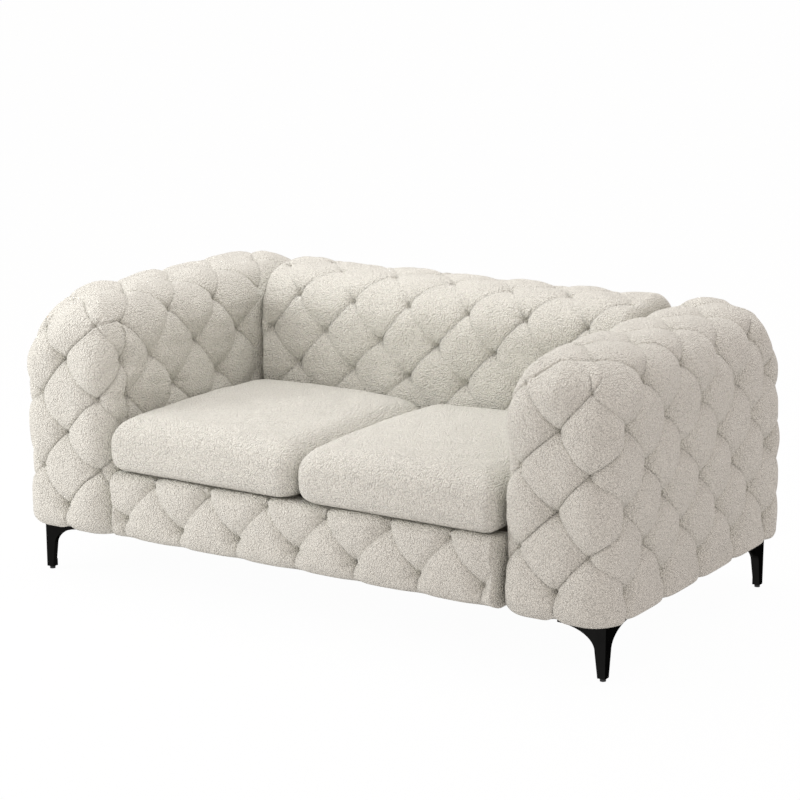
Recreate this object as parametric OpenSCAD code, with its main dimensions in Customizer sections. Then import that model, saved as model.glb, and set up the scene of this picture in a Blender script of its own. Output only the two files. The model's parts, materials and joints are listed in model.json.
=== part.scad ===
// Two-seat tuxedo sofa: tufted arms and back of one height, loose seat cushions, corner legs.
// Millimetres, +Z up, -Y towards the sitter's feet. The origin is on the floor, under the middle.

/* [Overall] */
// Width over the arms, between the bottoms of the tufts
sofa_w = 1604; // [1420:1:2200]
// Depth of the arms, between the bottoms of the tufts
sofa_d = 894; // [800:1:1100]
// Height of the arms and back, at the bottoms of the tufts
sofa_h = 706; // [660:1:800]
// Height of the underside of the upholstery above the floor
base_z = 128; // [105:1:170]

/* [Arms and back] */
// Width of an arm, between the bottoms of the tufts
arm_w = 229; // [205:1:280]
// Radius along the top edges of the arms and back
top_r = 80; // [65:1:90]
// Radius of the arms' upright corners
arm_corner_r = 45; // [30:1:60]
// Thickness of the back, between the bottoms of the tufts
back_t = 230; // [205:1:270]
// Distance from the back's rear face to the rear tufts of the arms
back_inset = 37; // [20:1:60]
// Radius of the back's upright ends
back_end_r = 24; // [15:1:30]

/* [Tufting] */
// Number of diamonds along an arm
arm_cols = 4; // [3:1:5]
// Number of diamonds along the back and the front rail
seat_cols = 6; // [4:2:8]
// Number of half diamonds up an arm, from the lowest tufts to the top ones
arm_rows = 6; // [4:2:8]
// Step between tuft rows on the back
back_row = 88; // [78:0.5:100]
// Height of the arms' lowest tufts above the underside
first_row = 68; // [50:1:90]
// How far the diamonds stand out over the tufts
puff = 30; // [18:1:40]
// The same on the arms' inner faces, beside the cushions
inner_puff = 26; // [14:1:32]
// The same on top of the arms and back
top_puff = 17; // [12:1:30]
// How far from a pleat the padding is drawn in
pleat_reach = 62; // [45:1:80]
// Part of the puff that one pleat takes away at a tuft
pleat_share = 0.5; // [0.4:0.05:0.6]
// The same midway between two tufts
mid_share = 0.2; // [0.1:0.05:0.4]
// Distance over which the padding is drawn in at the arms' top corners
corner_reach = 140; // [90:1:180]

/* [Seat] */
// Height of the seat deck above the floor
deck_z = 300; // [280:1:340]
// Thickness of the padded deck
deck_t = 16; // [8:1:20]
// Thickness of a seat cushion at its sides
cushion_t = 138; // [110:1:160]
// Rise of a cushion's crown over its sides
cushion_crown = 14; // [8:1:30]
// Radius of a cushion's upright corners
cushion_corner_r = 48; // [36:1:80]
// Distance that a cushion reaches past the arms' front tufts
cushion_front = 30; // [20:1:33]
// Gap beside a cushion
cushion_gap = 2; // [1:0.5:6]
// Height of the front rail's lower tufts above the underside
rail_low = 55; // [40:1:65]
// Height of the front rail's upper tufts above the underside
rail_up = 149; // [140:1:155]
// How far the front rail's diamonds stand out
rail_puff = 28; // [16:1:32]
// The same on top of the front rail
rail_top_puff = 9; // [4:1:12]
// Number of zigzag springs under the deck
spring_count = 8; // [4:1:10]

/* [Frame] */
// Depth of the padding between the tufts and the frame
pad_t = 30; // [28:1:36]
// Least thickness of a cover with its wadding
cover_t = 7; // [5:0.5:9]
// Thickness of the frame's boards
board_t = 25; // [18:1:30]
// Height of the frame's rails
rail_h = 60; // [45:1:70]
// Side of the frame's posts
post_w = 40; // [30:1:50]
// Thickness of the frame's plywood panels
ply_t = 5; // [3:0.5:9]
// Side of the wooden blocks over the legs
leg_block = 130; // [115:1:150]
// Radius of the bolts that join the arms to the seat
bolt_r = 4; // [3:0.5:5]
// Radius of the spring wire
wire_r = 1.8; // [1.2:0.1:2.5]

/* [Legs] */
// Distance from a leg's outer face to the side tufts
leg_side_inset = 2; // [0:1:12]
// Distance from a leg's outer face to the front tufts
leg_front_inset = 27; // [16:1:36]
// Length of each of a leg's two wings
wing_len = 121; // [112:1:130]
// Width of the leg's column under the wings
leg_top_w = 27; // [22:1:36]
// Width of the leg's column at its foot
leg_foot_w = 19; // [17:1:22]
// Thickness of the leg's two wings
leg_wall = 14; // [9:0.5:15]
// Radius of a levelling glide's pad
glide_r = 7; // [6:0.5:8]
// Height of a levelling glide's pad
glide_h = 6.5; // [5:0.5:10]
// How far a glide screws out to level the sofa
glide_travel = 8; // [4:1:10]

/* [Hidden] */

cream = "#e9e4d8";
black_metal = "#1b1a19";
raw_wood = "#c9a06b";
foam_white = "#f3ecd2";
steel = "#8f9498";

// Overrun of every cut
over = 1;
// Clearance between pieces that lie against each other
lie = 0.3;
// Facets of round pieces
round_fn = 48;

// The form under an arm's tufts: half width, half depth and the lengths of its rising outline
arm_hw = arm_w / 2;
arm_hd = sofa_d / 2;
arm_x = sofa_w / 2 - arm_hw;
shoulder_z = sofa_h - top_r;
wall_len = shoulder_z - base_z;
arc_len = PI * top_r / 2;

// Arm tufts: even columns along the sides and five steps round each end
end_run = 77;
last_col_y = arm_hd - end_run;
end_steps = 5;
ring_steps = 4 * arm_cols + 2 * end_steps;
// Places of the end columns, as shares of the way round the end from the outer side
end_column_shares = [[0, 0], [1, 0.27], [2, 0.49], [3, 0.765], [4, 0.955], [5, 1]];
// The topmost tufts lie at this share of the top edge's arc
top_row_share = 0.945;
top_row_s = wall_len + arc_len * top_row_share;
arm_row_step = (top_row_s - first_row) / arm_rows;
// Radius with which a cover turns under at its lower edge
hem_r = 24;
// Half width of the strip that closes the top of an arm
crest_half = 14;
// Least radius to which a corner shrinks on the way up
least_r = 2;
// Length over which the tufting fades out where the fabric is hidden
fade_len = 50;
// Plain fabric starts this far under the cushions' tops
plain_drop = 45;
// Part of the puff that the arms' top corners lose
corner_draw_share = 0.95;

// The seat opening between the arms, and the back
seat_hw = sofa_w / 2 - arm_w - inner_puff - lie;
back_rear_y = arm_hd - back_inset;
back_front_y = back_rear_y - back_t;
back_low_z = deck_z + lie;
back_wall = shoulder_z - back_low_z;
back_flat = back_t - 2 * top_r;
// The back's crest tufts lie at this share of the front arc
crest_row_share = 0.915;
crest_s = arc_len * crest_row_share;
back_rows = floor((crest_s + back_wall - hem_r) / back_row);
back_rear_rows = 2;
// Distance from the last tufts of the back and rail to their ends
end_margin = 40;
seat_step = (seat_hw - end_margin) / seat_cols;
// Shares of the end radius at which the rounded ends have a section
end_round_shares = [0, 0.12, 0.45, 1];

// The front rail
rail_proud = 2;
rail_front_y = -arm_hd - rail_proud;
rail_depth = 64;
rail_edge_r = 12;
rail_pad = 20;
rail_top_z = deck_z - rail_top_puff - lie;
rail_wall = rail_top_z - base_z - 2 * rail_edge_r;
rail_arc = PI * rail_edge_r / 2;
rail_end_r = 10;
rail_cover_t = rail_edge_r + cover_t / 5;

// The frames
dust_t = 1.5;
// Depth of the padding over the frames, as a share of that at their sides
frame_drop_share = 1.7;
frame_low_z = base_z + dust_t;
arm_fw = arm_hw - pad_t;
arm_fd = arm_hd - pad_t;
arm_frame_top = sofa_h - frame_drop_share * pad_t;
frame_top_z = deck_z - deck_t - 2 * wire_r - 2 * lie;
seat_board_y = rail_front_y + rail_pad;
spring_rail_y = back_front_y + pad_t - board_t;
block_t = leg_block / 5;
// Bolted spacer blocks, along the depth as shares of the arm frame's half depth
bolt_row_shares = [-0.72, 0, 0.72];
spacer_w = 80;
spacer_h = 80;
bolt_z = (frame_low_z + frame_top_z) / 2;
bolt_head_r = 8;
bolt_head_h = 5;
bolt_end = 12;
fit_gap = 0.2;

// Legs, screws and glides
leg_x = sofa_w / 2 - leg_side_inset;
leg_y = arm_hd - leg_front_inset;
wing_tip_h = 9;
wing_curve_h = 62;
curve_steps = 12;
plate_t = 4;
plate_w = 60;
foot_h = 18;
foot_z = glide_h + lie;
stem_r = 3;
stem_fit = 0.06;
screw_r = 2.2;
screw_head_r = 4.6;
screw_head_h = 2.6;
screw_len = 20;
// Screw places on a leg's plate, as shares of the plate's width
screw_place_shares = [[0.7, 0.95], [0.95, 0.7], [0.7, 1.6], [1.6, 0.7]];

// Cushions
cushion_hw = (seat_hw + lie) / 2 - cushion_gap;
cushion_x = (seat_hw + lie) / 2;
cushion_y0 = -arm_hd - cushion_front;
cushion_y1 = back_front_y - puff - cushion_gap;
cushion_hd = (cushion_y1 - cushion_y0) / 2;
cushion_mid_y = (cushion_y1 + cushion_y0) / 2;
cushion_low_z = deck_z + lie;
// Outline of a cushion's side: inset and height, as shares of its thickness
cushion_side_shares = [[0.5, 0], [0.16, 0.015], [0.05, 0.09], [0.003, 0.26], [0.003, 0.54],
    [0.07, 0.8], [0.18, 0.925], [0.36, 0.985], [0.8, 1], [1.75, 1]];
// How much lower than its middle a cushion's corners lie, as a share of the crown
corner_drop_share = 0.55;

// A number held between 0 and 1
function unit(v) = min(1, max(0, v));

// A number eased from 0 to 1 with level ends
function ease(v) = let (u = unit(v)) u * u * (3 - 2 * u);

// What half a pleat, from its tuft to its middle, takes away at p: most near its line and its tuft
function half_take(p, tuft, middle) =
    let (way = middle - tuft, t = unit(((p - tuft) * way) / max(way * way, least_r)),
        near = unit(1 - norm(p - tuft - way * t) / pleat_reach))
    (mid_share + (pleat_share - mid_share) * (1 - t)) * near * near;

// What the pleats near p leave of the padding. A pleat is a list of three points.
function left_by_pleats(p, pleats) =
    let (kept = [for (c = pleats)
            if (norm(p - c[1]) < pleat_reach + norm(c[2] - c[0]))
            ln(1 - max(half_take(p, c[0], c[1]), half_take(p, c[2], c[1])))])
    len(kept) == 0 ? 1 : exp(kept * [for (k = kept) 1]);

// Rounding of a cover where it turns under at height z
function hem(z) = z >= base_z + hem_r ? 1 : sqrt(1 - pow(1 - unit((z - base_z) / hem_r), 2));

// A place at distance s round an arm's front end, from the outer side at -y0 to the inner side:
// x, y and the outward direction, on an outline of half sizes hw, hd and corner radius r
function end_path(s, hw, hd, r, y0) =
    let (a = hd - r - y0, b = PI * r / 2, c = 2 * (hw - r))
    s < a ? [hw, -y0 - s, 1, 0] :
    s < a + b ? let (t = (s - a) / b * 90)
        [hw - r + r * cos(t), r - hd - r * sin(t), cos(t), -sin(t)] :
    s < a + b + c ? [hw - r - (s - a - b), -hd, 0, -1] :
    s < a + 2 * b + c ? let (t = (s - a - b - c) / b * 90)
        [r - hw - r * sin(t), r - hd - r * cos(t), -sin(t), -cos(t)] :
    [-hw, s - 2 * a - 2 * b - c - y0, -1, 0];

// The same place for a column t of the end, counted from the outer side
function end_at(t, hw, hd, r, y0) =
    let (len_all = 2 * (hd - r - y0) + PI * r + 2 * (hw - r))
    end_path(lookup(t, end_column_shares) * len_all, hw, hd, r, y0);

function flip_y(q) = [q[0], -q[1], q[2], -q[3]];

// Column g of the ring round an arm: outer side, rear end, inner side, front end
function ring_at(g, hw, hd, r, y0) =
    let (n = arm_cols, e = end_steps, k = (g + ring_steps) % ring_steps)
    k <= 2 * n ? [hw, (k / n - 1) * y0, 1, 0] :
    k <= 2 * n + e ? flip_y(end_at(k - 2 * n, hw, hd, r, y0)) :
    k <= 4 * n + e ? [-hw, (1 - (k - 2 * n - e) / n) * y0, -1, 0] :
    end_at(4 * n + 2 * e - k, hw, hd, r, y0);

// The rising outline of an arm at length s from the underside: inset, height, tilt
function rise(s) =
    s < wall_len ? [0, base_z + s, 0] :
    s < wall_len + arc_len ? let (t = (s - wall_len) / arc_len * 90)
        [top_r * (1 - cos(t)), shoulder_z + top_r * sin(t), t] :
    [top_r + s - wall_len - arc_len, sofa_h, 90];

// Point and outward direction on the form under an arm's tufts, for column g and length s
function arm_form(g, s) =
    let (p = rise(s), r = max(least_r, arm_corner_r - p[0]), hd = arm_hd - p[0],
        y0 = min(last_col_y, hd - r), q = ring_at(g, arm_hw - p[0], hd, r, y0))
    [[q[0], q[1], p[1]], [q[2] * cos(p[2]), q[3] * cos(p[2]), sin(p[2])]];

function arm_row_s(row) = first_row + row * arm_row_step;
function arm_spot(g, row) = arm_form(g, arm_row_s(row))[0];
function arm_pleat(a, b) = [arm_spot(a[0], a[1]), arm_spot((a[0] + b[0]) / 2, (a[1] + b[1]) / 2),
    arm_spot(b[0], b[1])];
function bent_pleat(a, m, b) = [arm_spot(a[0], a[1]), arm_spot(m[0], m[1]), arm_spot(b[0], b[1])];

// All pleats of an arm, each between two neighbouring tufts of the diagonal lattice
inner_start = 2 * arm_cols + end_steps;
arm_pleats = [
    for (row = [0:arm_rows - 2], g = [0:ring_steps - 1], side = [-1, 1])
        if ((g + row) % 2 == 0) arm_pleat([g, row], [g + side, row + 1]),
    for (g = [0:2:2 * arm_cols], side = [-1, 1])
        arm_pleat([g, arm_rows], [g + side, arm_rows - 1]),
    for (g = [inner_start + 1:2:inner_start + 2 * arm_cols - 1], side = [-1, 1])
        arm_pleat([g, arm_rows], [g + side, arm_rows - 1]),
    for (g = [inner_start + 1:2:inner_start + 2 * arm_cols - 1], side = [-1, 1])
        let (a = arm_spot(g, arm_rows), b = arm_spot(inner_start + 2 * arm_cols - g - side, arm_rows))
        [a, (a + b) / 2, b],
    for (g = [0:2:ring_steps - 1])
        [arm_spot(g, 0), (arm_spot(g, 0) + arm_form(g, 0)[0]) / 2, arm_form(g, 0)[0]],
    bent_pleat([-3, arm_rows - 1], [-2.4, arm_rows - 0.3], [0, arm_rows]),
    bent_pleat([2 * arm_cols + 3, arm_rows - 1], [2 * arm_cols + 2.4, arm_rows - 0.3],
        [2 * arm_cols, arm_rows]),
    bent_pleat([-3, arm_rows - 1], [-4, arm_rows - 0.95], [-5, arm_rows - 1]),
    bent_pleat([inner_start - 2, arm_rows - 1], [inner_start - 1, arm_rows - 0.95],
        [inner_start, arm_rows - 1])
];

// How far the tufting shows at p: the inner face is plain behind the cushions and the back
function arm_shown(p) =
    p[0] > 0 ? 1 :
    max(unit((p[2] - shoulder_z) / fade_len), unit((abs(p[1]) - last_col_y) / fade_len),
        unit((p[2] - deck_z - cushion_t + plain_drop) / fade_len) *
        unit((back_front_y - p[1]) / fade_len));

// What the padding keeps at p of its height, near the top corners
function corner_left(p) =
    let (d = norm([arm_hw - abs(p[0]), arm_hd - abs(p[1]), sofa_h - p[2]]))
    1 - corner_draw_share * ease(1 - d / corner_reach);

// Full height of the padding for an outward direction
function full_puff(n) =
    let (side = puff + (inner_puff - puff) * max(0, -n[0]))
    side + (top_puff - side) * n[2];

function arm_skin(g, s) =
    let (f = arm_form(g, s), p = f[0], shown = arm_shown(p),
        left = 1 - shown + shown * left_by_pleats(p, arm_pleats))
    p + f[1] * full_puff(f[1]) * left * corner_left(p) * hem(p[2]);

// Lengths at which the arm's skin has a ring of points
arm_levels = [0, hem_r / 2, first_row / 2, for (k = [0:2 * arm_rows]) arm_row_s(k / 2),
    wall_len + arc_len + arm_hw - top_r - crest_half];

// Faces of a skin of points, n_ring to a ring and n_level rings, with the last ring zipped shut
// along its length. The quads split along the pleats.
function ring_faces(n, levels, first_lattice) = [
    for (j = [0:levels - 2], i = [0:n - 1])
        let (k = (i + 1) % n, a = j * n + i, b = j * n + k, c = a + n, d = b + n,
            along = (floor((i + 1) / 2) + floor((j - first_lattice) / 2) + 10) % 2 == 1)
        each along ? [[a, d, b], [a, c, d]] : [[a, c, b], [b, c, d]]
];

// Closed solid through rings of points round an arm, flat at height low. Its last ring is filled
// to the point in peak, or zipped shut along its length where peak is empty.
module arm_solid(points, levels, low, peak) {
    n = 2 * ring_steps;
    top = (levels - 1) * n;
    zip = [for (i = [0:n / 2 - 1])
        let (a = top + i, b = top + i + 1, c = top + (n - i) % n, d = top + n - i - 1)
        each [if (i > 0) [a, c, b], if (i < n / 2 - 1) [b, c, d]]];
    fan = [for (i = [0:n - 1]) [top + (i + 1) % n, top + i, len(points) + 1]];
    cap = [for (i = [0:n - 1]) [i, (i + 1) % n, len(points)]];
    polyhedron(concat(points, [[0, 0, low]], peak),
        concat(ring_faces(n, levels, 3), len(peak) > 0 ? fan : zip, cap));
}

// The solid form under the tufts, drawn in by inset, from height low upwards
core_arc_steps = 2;
module arm_block(inset, low) {
    levels = [low - base_z, for (k = [0:core_arc_steps]) wall_len + arc_len * k / core_arc_steps];
    arm_solid([for (s = levels, i = [0:2 * ring_steps - 1])
        let (f = arm_form(i / 2 - end_steps / 2, s)) f[0] - f[1] * inset], len(levels), low,
        [[0, 0, sofa_h - inset]]);
}

// Box from corner a to corner b
module box(a, b) {
    translate(a) cube(b - a);
}

// Openings in an arm's inner side through which the seat's spacer blocks pass
module spacer_windows(gap) {
    for (share = bolt_row_shares)
        box([-arm_hw - puff - over, share * arm_fd - spacer_w / 2 - gap, bolt_z - spacer_h / 2 - gap],
            [over - arm_fw, share * arm_fd + spacer_w / 2 + gap, bolt_z + spacer_h / 2 + gap]);
}

module arm_cover() {
    color(cream)
        difference() {
            arm_solid([for (s = arm_levels, i = [0:2 * ring_steps - 1])
                arm_skin(i / 2 - end_steps / 2, s)], len(arm_levels), base_z, []);
            arm_block(cover_t, base_z - over);
            spacer_windows(lie);
        }
}

module arm_foam() {
    color(foam_white)
        difference() {
            arm_block(cover_t + lie, frame_low_z);
            box([-arm_fw - lie, -arm_fd - lie, base_z], [arm_fw + lie, arm_fd + lie, arm_frame_top + lie]);
            spacer_windows(lie);
        }
}

// Places of the leg screws under an arm, counted from the arm's middle line
module at_leg_screws() {
    for (y = [-1, 1], spot = screw_place_shares)
        translate([leg_x - arm_x - spot[0] * plate_w, y * (leg_y - spot[1] * plate_w), 0])
            children();
}

module arm_frame() {
    w = arm_fw - ply_t;
    d = arm_fd - ply_t;
    top = arm_frame_top - ply_t;
    color(raw_wood)
        difference() {
            union() {
                for (x = [-w, w - post_w], y = [-d, d - post_w])
                    translate([x, y, frame_low_z]) cube([post_w, post_w, top - frame_low_z]);
                for (z = [frame_low_z, top - rail_h]) {
                    translate([w - board_t, -d, z]) cube([board_t, 2 * d, rail_h]);
                    for (y = [-d, d - board_t])
                        translate([-w, y, z]) cube([2 * w, board_t, rail_h]);
                }
                box([-arm_fw, -d, frame_low_z], [board_t - arm_fw, d, frame_top_z]);
                box([-w, -d, top - rail_h], [board_t - w, d, top]);
                box([w - board_t, -post_w / 2, frame_low_z], [w, post_w / 2, top]);
                box([-w, -post_w / 2, frame_top_z], [board_t - w, post_w / 2, top]);
                for (y = [-arm_fd, arm_fd - leg_block])
                    translate([arm_fw - leg_block, y, frame_low_z])
                        cube([leg_block, leg_block, block_t]);
            }
            at_leg_screws()
                translate([0, 0, base_z - over])
                    cylinder(r = screw_r + stem_fit, h = block_t + 2 * over + dust_t, $fn = round_fn);
            for (share = bolt_row_shares)
                translate([-arm_fw - over, share * arm_fd, bolt_z])
                    rotate([0, 90, 0])
                        cylinder(r = bolt_r + fit_gap, h = 2 * post_w, $fn = round_fn);
        }
}

// Plywood panels that carry the padding: outer side, ends, inner side over the deck, and top
module arm_panels() {
    low = frame_low_z + block_t + lie;
    w = arm_fw - ply_t;
    color(raw_wood) {
        box([w, -arm_fd, low], [arm_fw, arm_fd, arm_frame_top]);
        box([-arm_fw, -arm_fd, frame_top_z + lie], [-w, arm_fd, arm_frame_top]);
        for (y = [-arm_fd, arm_fd - ply_t])
            translate([lie - w, y, low]) cube([2 * w - 2 * lie, ply_t, arm_frame_top - low]);
        box([lie - w, ply_t - arm_fd + lie, arm_frame_top - ply_t],
            [w - lie, arm_fd - ply_t - lie, arm_frame_top]);
    }
}

// Outline of the back along length s, which is 0 where the front wall meets the top arc:
// y, height and outward direction
function back_outline(s) =
    s < 0 ? [back_front_y, shoulder_z + s, -1, 0] :
    s < arc_len ? let (t = s / arc_len * 90)
        [back_front_y + top_r * (1 - cos(t)), shoulder_z + top_r * sin(t), -cos(t), sin(t)] :
    s < arc_len + back_flat ? [back_front_y + top_r + s - arc_len, sofa_h, 0, 1] :
    s < 2 * arc_len + back_flat ? let (t = (s - arc_len - back_flat) / arc_len * 90)
        [back_rear_y - top_r * (1 - sin(t)), shoulder_z + top_r * cos(t), sin(t), cos(t)] :
    [back_rear_y, shoulder_z - (s - 2 * arc_len - back_flat), 1, 0];

// How far the rounded ends draw in a section at x, for a half length hx and an end radius r
function end_inset(x, hx, r) =
    let (d = hx - abs(x)) d >= r ? 0 : r - sqrt(max(0, r * r - pow(r - d, 2)));

// Point on a long form with rounded ends: section q at x
function long_point(x, q, inset) = [x, q[0] - q[2] * inset, q[1] - q[3] * inset];

function back_s(row) = crest_s - row * back_row;
function back_spot(f, row) =
    long_point(f * seat_step, back_outline(back_s(row)), end_inset(f * seat_step, seat_hw, back_end_r));

back_pleats = [
    for (row = [-back_rear_rows:back_rows - 1], f = [-seat_cols - 1:seat_cols + 1], side = [-1, 1])
        if ((f + row + 2 * seat_cols + back_rear_rows) % 2 == 0)
            [back_spot(f, row), back_spot(f + side / 2, row + 1 / 2), back_spot(f + side, row + 1)],
    for (f = [-seat_cols:2:seat_cols])
        [back_spot(f, -back_rear_rows), back_spot(f, -back_rear_rows - 1 / 4),
            back_spot(f, -back_rear_rows - 1 / 2)]
];

function back_skin(x, s) =
    let (q = back_outline(s), p = long_point(x, q, end_inset(x, seat_hw, back_end_r)),
        rear = q[2] > 0 ? unit((p[2] - shoulder_z + top_r / 2) / fade_len) : 1,
        full = (puff + (top_puff - puff) * max(0, q[3])) * rear,
        ends = unit((seat_hw - abs(x)) / back_end_r))
    p + [0, q[2], q[3]] * full * left_by_pleats(p, back_pleats) * sqrt(ends);

back_levels = [-back_wall, for (k = [2 * back_rows:-1:-2 * back_rear_rows]) back_s(k / 2),
    2 * arc_len + back_flat + top_r / 2, 2 * arc_len + back_flat + back_wall];

// Sections of a long form along x, with its ends rounded by r
function sections(hx, r) = [
    for (t = end_round_shares) -hx + t * r,
    for (k = [-2 * seat_cols:2 * seat_cols]) k * seat_step / 2,
    for (k = [len(end_round_shares) - 1:-1:0]) hx - end_round_shares[k] * r
];

// A closed skin through sections of points, n to a section, with flat ends. The quads of the
// lattice split along its pleats.
module long_skin(points, n, first_x, first_s) {
    count = len(points) / n;
    sides = [for (j = [0:count - 2], i = [0:n - 1])
        let (k = (i + 1) % n, a = j * n + i, b = j * n + k, c = a + n, d = b + n,
            along = (floor((j - first_x) / 2) + floor((i - first_s) / 2) + 20) % 2 == 0)
        each along ? [[a, d, b], [a, c, d]] : [[a, c, b], [b, c, d]]];
    mid = [for (e = [0, count - 1])
        [for (m = [0:2]) [for (i = [0:n - 1]) points[e * n + i][m]] * [for (i = [0:n - 1]) 1 / n]]];
    ends = [for (i = [0:n - 1]) each [[i, (i + 1) % n, count * n],
        [(count - 1) * n + (i + 1) % n, (count - 1) * n + i, count * n + 1]]];
    polyhedron(concat(points, mid), concat(sides, ends));
}

module back_cover() {
    color(cream)
        difference() {
            long_skin([for (x = sections(seat_hw, back_end_r), s = back_levels) back_skin(x, s)],
                len(back_levels), len(end_round_shares), 1);
            back_core(cover_t, back_low_z - over);
        }
}

// The solid form of the back, drawn in by inset, from height low upwards
module back_core(inset, low) {
    hx = seat_hw - back_end_r;
    r = top_r - inset;
    rotate([90, 0, 90])
        linear_extrude(2 * hx, center = true) {
            translate([back_front_y + inset, low]) square([back_t - 2 * inset, shoulder_z - low]);
            translate([back_front_y + top_r, low]) square([back_flat, sofa_h - inset - low]);
            for (y = [back_front_y + top_r, back_rear_y - top_r])
                translate([y, shoulder_z]) circle(r, $fn = round_fn);
        }
}

back_fx = seat_hw - back_end_r - pad_t;
back_f0 = back_front_y + pad_t;
back_f1 = back_rear_y - pad_t;

module back_foam() {
    color(foam_white)
        difference() {
            back_core(cover_t + lie, back_low_z);
            box([-back_fx - lie, back_f0 - lie, base_z], [back_fx + lie, back_f1 + lie, arm_frame_top + lie]);
        }
}

module back_frame() {
    gap = webbing_t + lie;
    color(raw_wood) {
        for (x = [-back_fx, -board_t / 2, back_fx - board_t])
            translate([x, back_f0 + gap, frame_top_z])
                cube([board_t, back_f1 - back_f0 - gap, arm_frame_top - frame_top_z]);
        for (z = [frame_top_z, arm_frame_top - rail_h])
            translate([-back_fx, back_f0 + gap, z]) cube([2 * back_fx, board_t, rail_h]);
        for (z = [frame_top_z, arm_frame_top - rail_h])
            translate([-back_fx, back_f1 - board_t, z]) cube([2 * back_fx, board_t, rail_h]);
        translate([-back_fx, back_f0 + gap, arm_frame_top - ply_t])
            cube([2 * back_fx, back_f1 - back_f0 - gap, ply_t]);
    }
}

webbing_w = 50;
webbing_t = 1.5;
webbing_count = 8;

// Elastic straps from the back's lower to its upper rail
module back_webbing() {
    step = 2 * back_fx / webbing_count;
    color("#3a3a38")
        for (k = [0:webbing_count - 1])
            translate([(k + 1 / 2) * step - back_fx - webbing_w / 2, back_f0, frame_top_z + rail_h / 2])
                cube([webbing_w, webbing_t, arm_frame_top - frame_top_z - rail_h]);
}

// Outline of the front rail along length s, which is 0 at the foot of its front wall
function rail_outline(s) =
    s < -rail_arc ? [rail_front_y + rail_edge_r - s - rail_arc, base_z, 0, -1] :
    s < 0 ? let (t = s / rail_arc * 90)
        [rail_front_y + rail_edge_r * (1 - cos(t)), base_z + rail_edge_r * (1 + sin(t)),
            -cos(t), sin(t)] :
    s < rail_wall ? [rail_front_y, base_z + rail_edge_r + s, -1, 0] :
    s < rail_wall + rail_arc ? let (t = (s - rail_wall) / rail_arc * 90)
        [rail_front_y + rail_edge_r * (1 - cos(t)), rail_top_z - rail_edge_r * (1 - sin(t)),
            -cos(t), sin(t)] :
    [rail_front_y + rail_edge_r + s - rail_wall - rail_arc, rail_top_z, 0, 1];

rail_low_s = rail_low - rail_edge_r;
rail_up_s = rail_up - rail_edge_r;
rail_flat = rail_depth - rail_edge_r;
function rail_spot(f, s) =
    long_point(f * seat_step, rail_outline(s), end_inset(f * seat_step, seat_hw, rail_end_r));

rail_pleats = [
    for (f = [-seat_cols:2:seat_cols], side = [-1, 1])
        [rail_spot(f, rail_low_s), rail_spot(f + side / 2, (rail_low_s + rail_up_s) / 2),
            rail_spot(f + side, rail_up_s)],
    for (f = [-seat_cols:2:seat_cols])
        [rail_spot(f, rail_low_s), rail_spot(f, rail_low_s / 2), rail_spot(f, -rail_arc)],
    for (f = [1 - seat_cols:2:seat_cols - 1])
        [rail_spot(f, rail_up_s), rail_spot(f, rail_wall), rail_spot(f, rail_wall + rail_arc)]
];

function rail_skin(x, s) =
    let (q = rail_outline(s), p = long_point(x, q, end_inset(x, seat_hw, rail_end_r)),
        full = rail_puff + (rail_top_puff - rail_puff) * max(0, q[3]),
        ends = unit((seat_hw - abs(x)) / rail_end_r),
        back_edge = unit((rail_front_y + rail_depth - p[1]) / rail_edge_r))
    p + [0, q[2], max(0, q[3])] * full * left_by_pleats(p, rail_pleats) *
        hem(p[2]) * sqrt(ends) * back_edge;

rail_levels = [-rail_arc - rail_flat, -rail_arc, -rail_arc / 2, 0, rail_low_s / 2,
    for (k = [0:4]) rail_low_s + (rail_up_s - rail_low_s) * k / 4,
    rail_wall + rail_arc / 2, rail_wall + rail_arc, rail_wall + rail_arc + rail_flat * 2 / 3,
    rail_wall + rail_arc + rail_flat];

module front_rail_cover() {
    color(cream)
        difference() {
            long_skin([for (x = sections(seat_hw, rail_end_r), s = rail_levels) rail_skin(x, s)],
                len(rail_levels), len(end_round_shares), 1);
            box([rail_end_r - seat_hw, rail_front_y + rail_cover_t, base_z - over],
                [seat_hw - rail_end_r, rail_front_y + rail_depth + over, deck_z - deck_t]);
        }
}

module front_rail_foam() {
    color(foam_white)
        box([rail_end_r + lie - seat_hw, rail_front_y + rail_cover_t + lie, frame_low_z],
            [seat_hw - rail_end_r - lie, seat_board_y - lie, frame_top_z]);
}

seat_fx = seat_hw - rail_end_r - lie;
seat_in_x = seat_fx - board_t;

module seat_frame() {
    h = frame_top_z - frame_low_z;
    color(raw_wood)
        difference() {
            union() {
                for (y = [seat_board_y, spring_rail_y, back_rear_y - board_t])
                    translate([-seat_fx, y, frame_low_z]) cube([2 * seat_fx, board_t, h]);
                for (x = [-seat_fx, -board_t / 2, seat_in_x])
                    translate([x, seat_board_y, frame_low_z])
                        cube([board_t, back_rear_y - seat_board_y, h - (x == -board_t / 2 ? board_t : 0)]);
                for (side = [-1, 1], share = bolt_row_shares)
                    translate([side * (seat_in_x + arm_x - arm_fw - lie) / 2, share * arm_fd, bolt_z])
                        cube([arm_x - arm_fw - lie - seat_in_x, spacer_w, spacer_h], center = true);
            }
            for (side = [-1, 1], share = bolt_row_shares)
                translate([side * (seat_in_x + arm_x - arm_fw) / 2, share * arm_fd, bolt_z])
                    rotate([0, 90, 0])
                        cylinder(r = bolt_r + fit_gap, h = arm_x - arm_fw - seat_in_x + 2 * over,
                            center = true, $fn = round_fn);
        }
}

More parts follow.
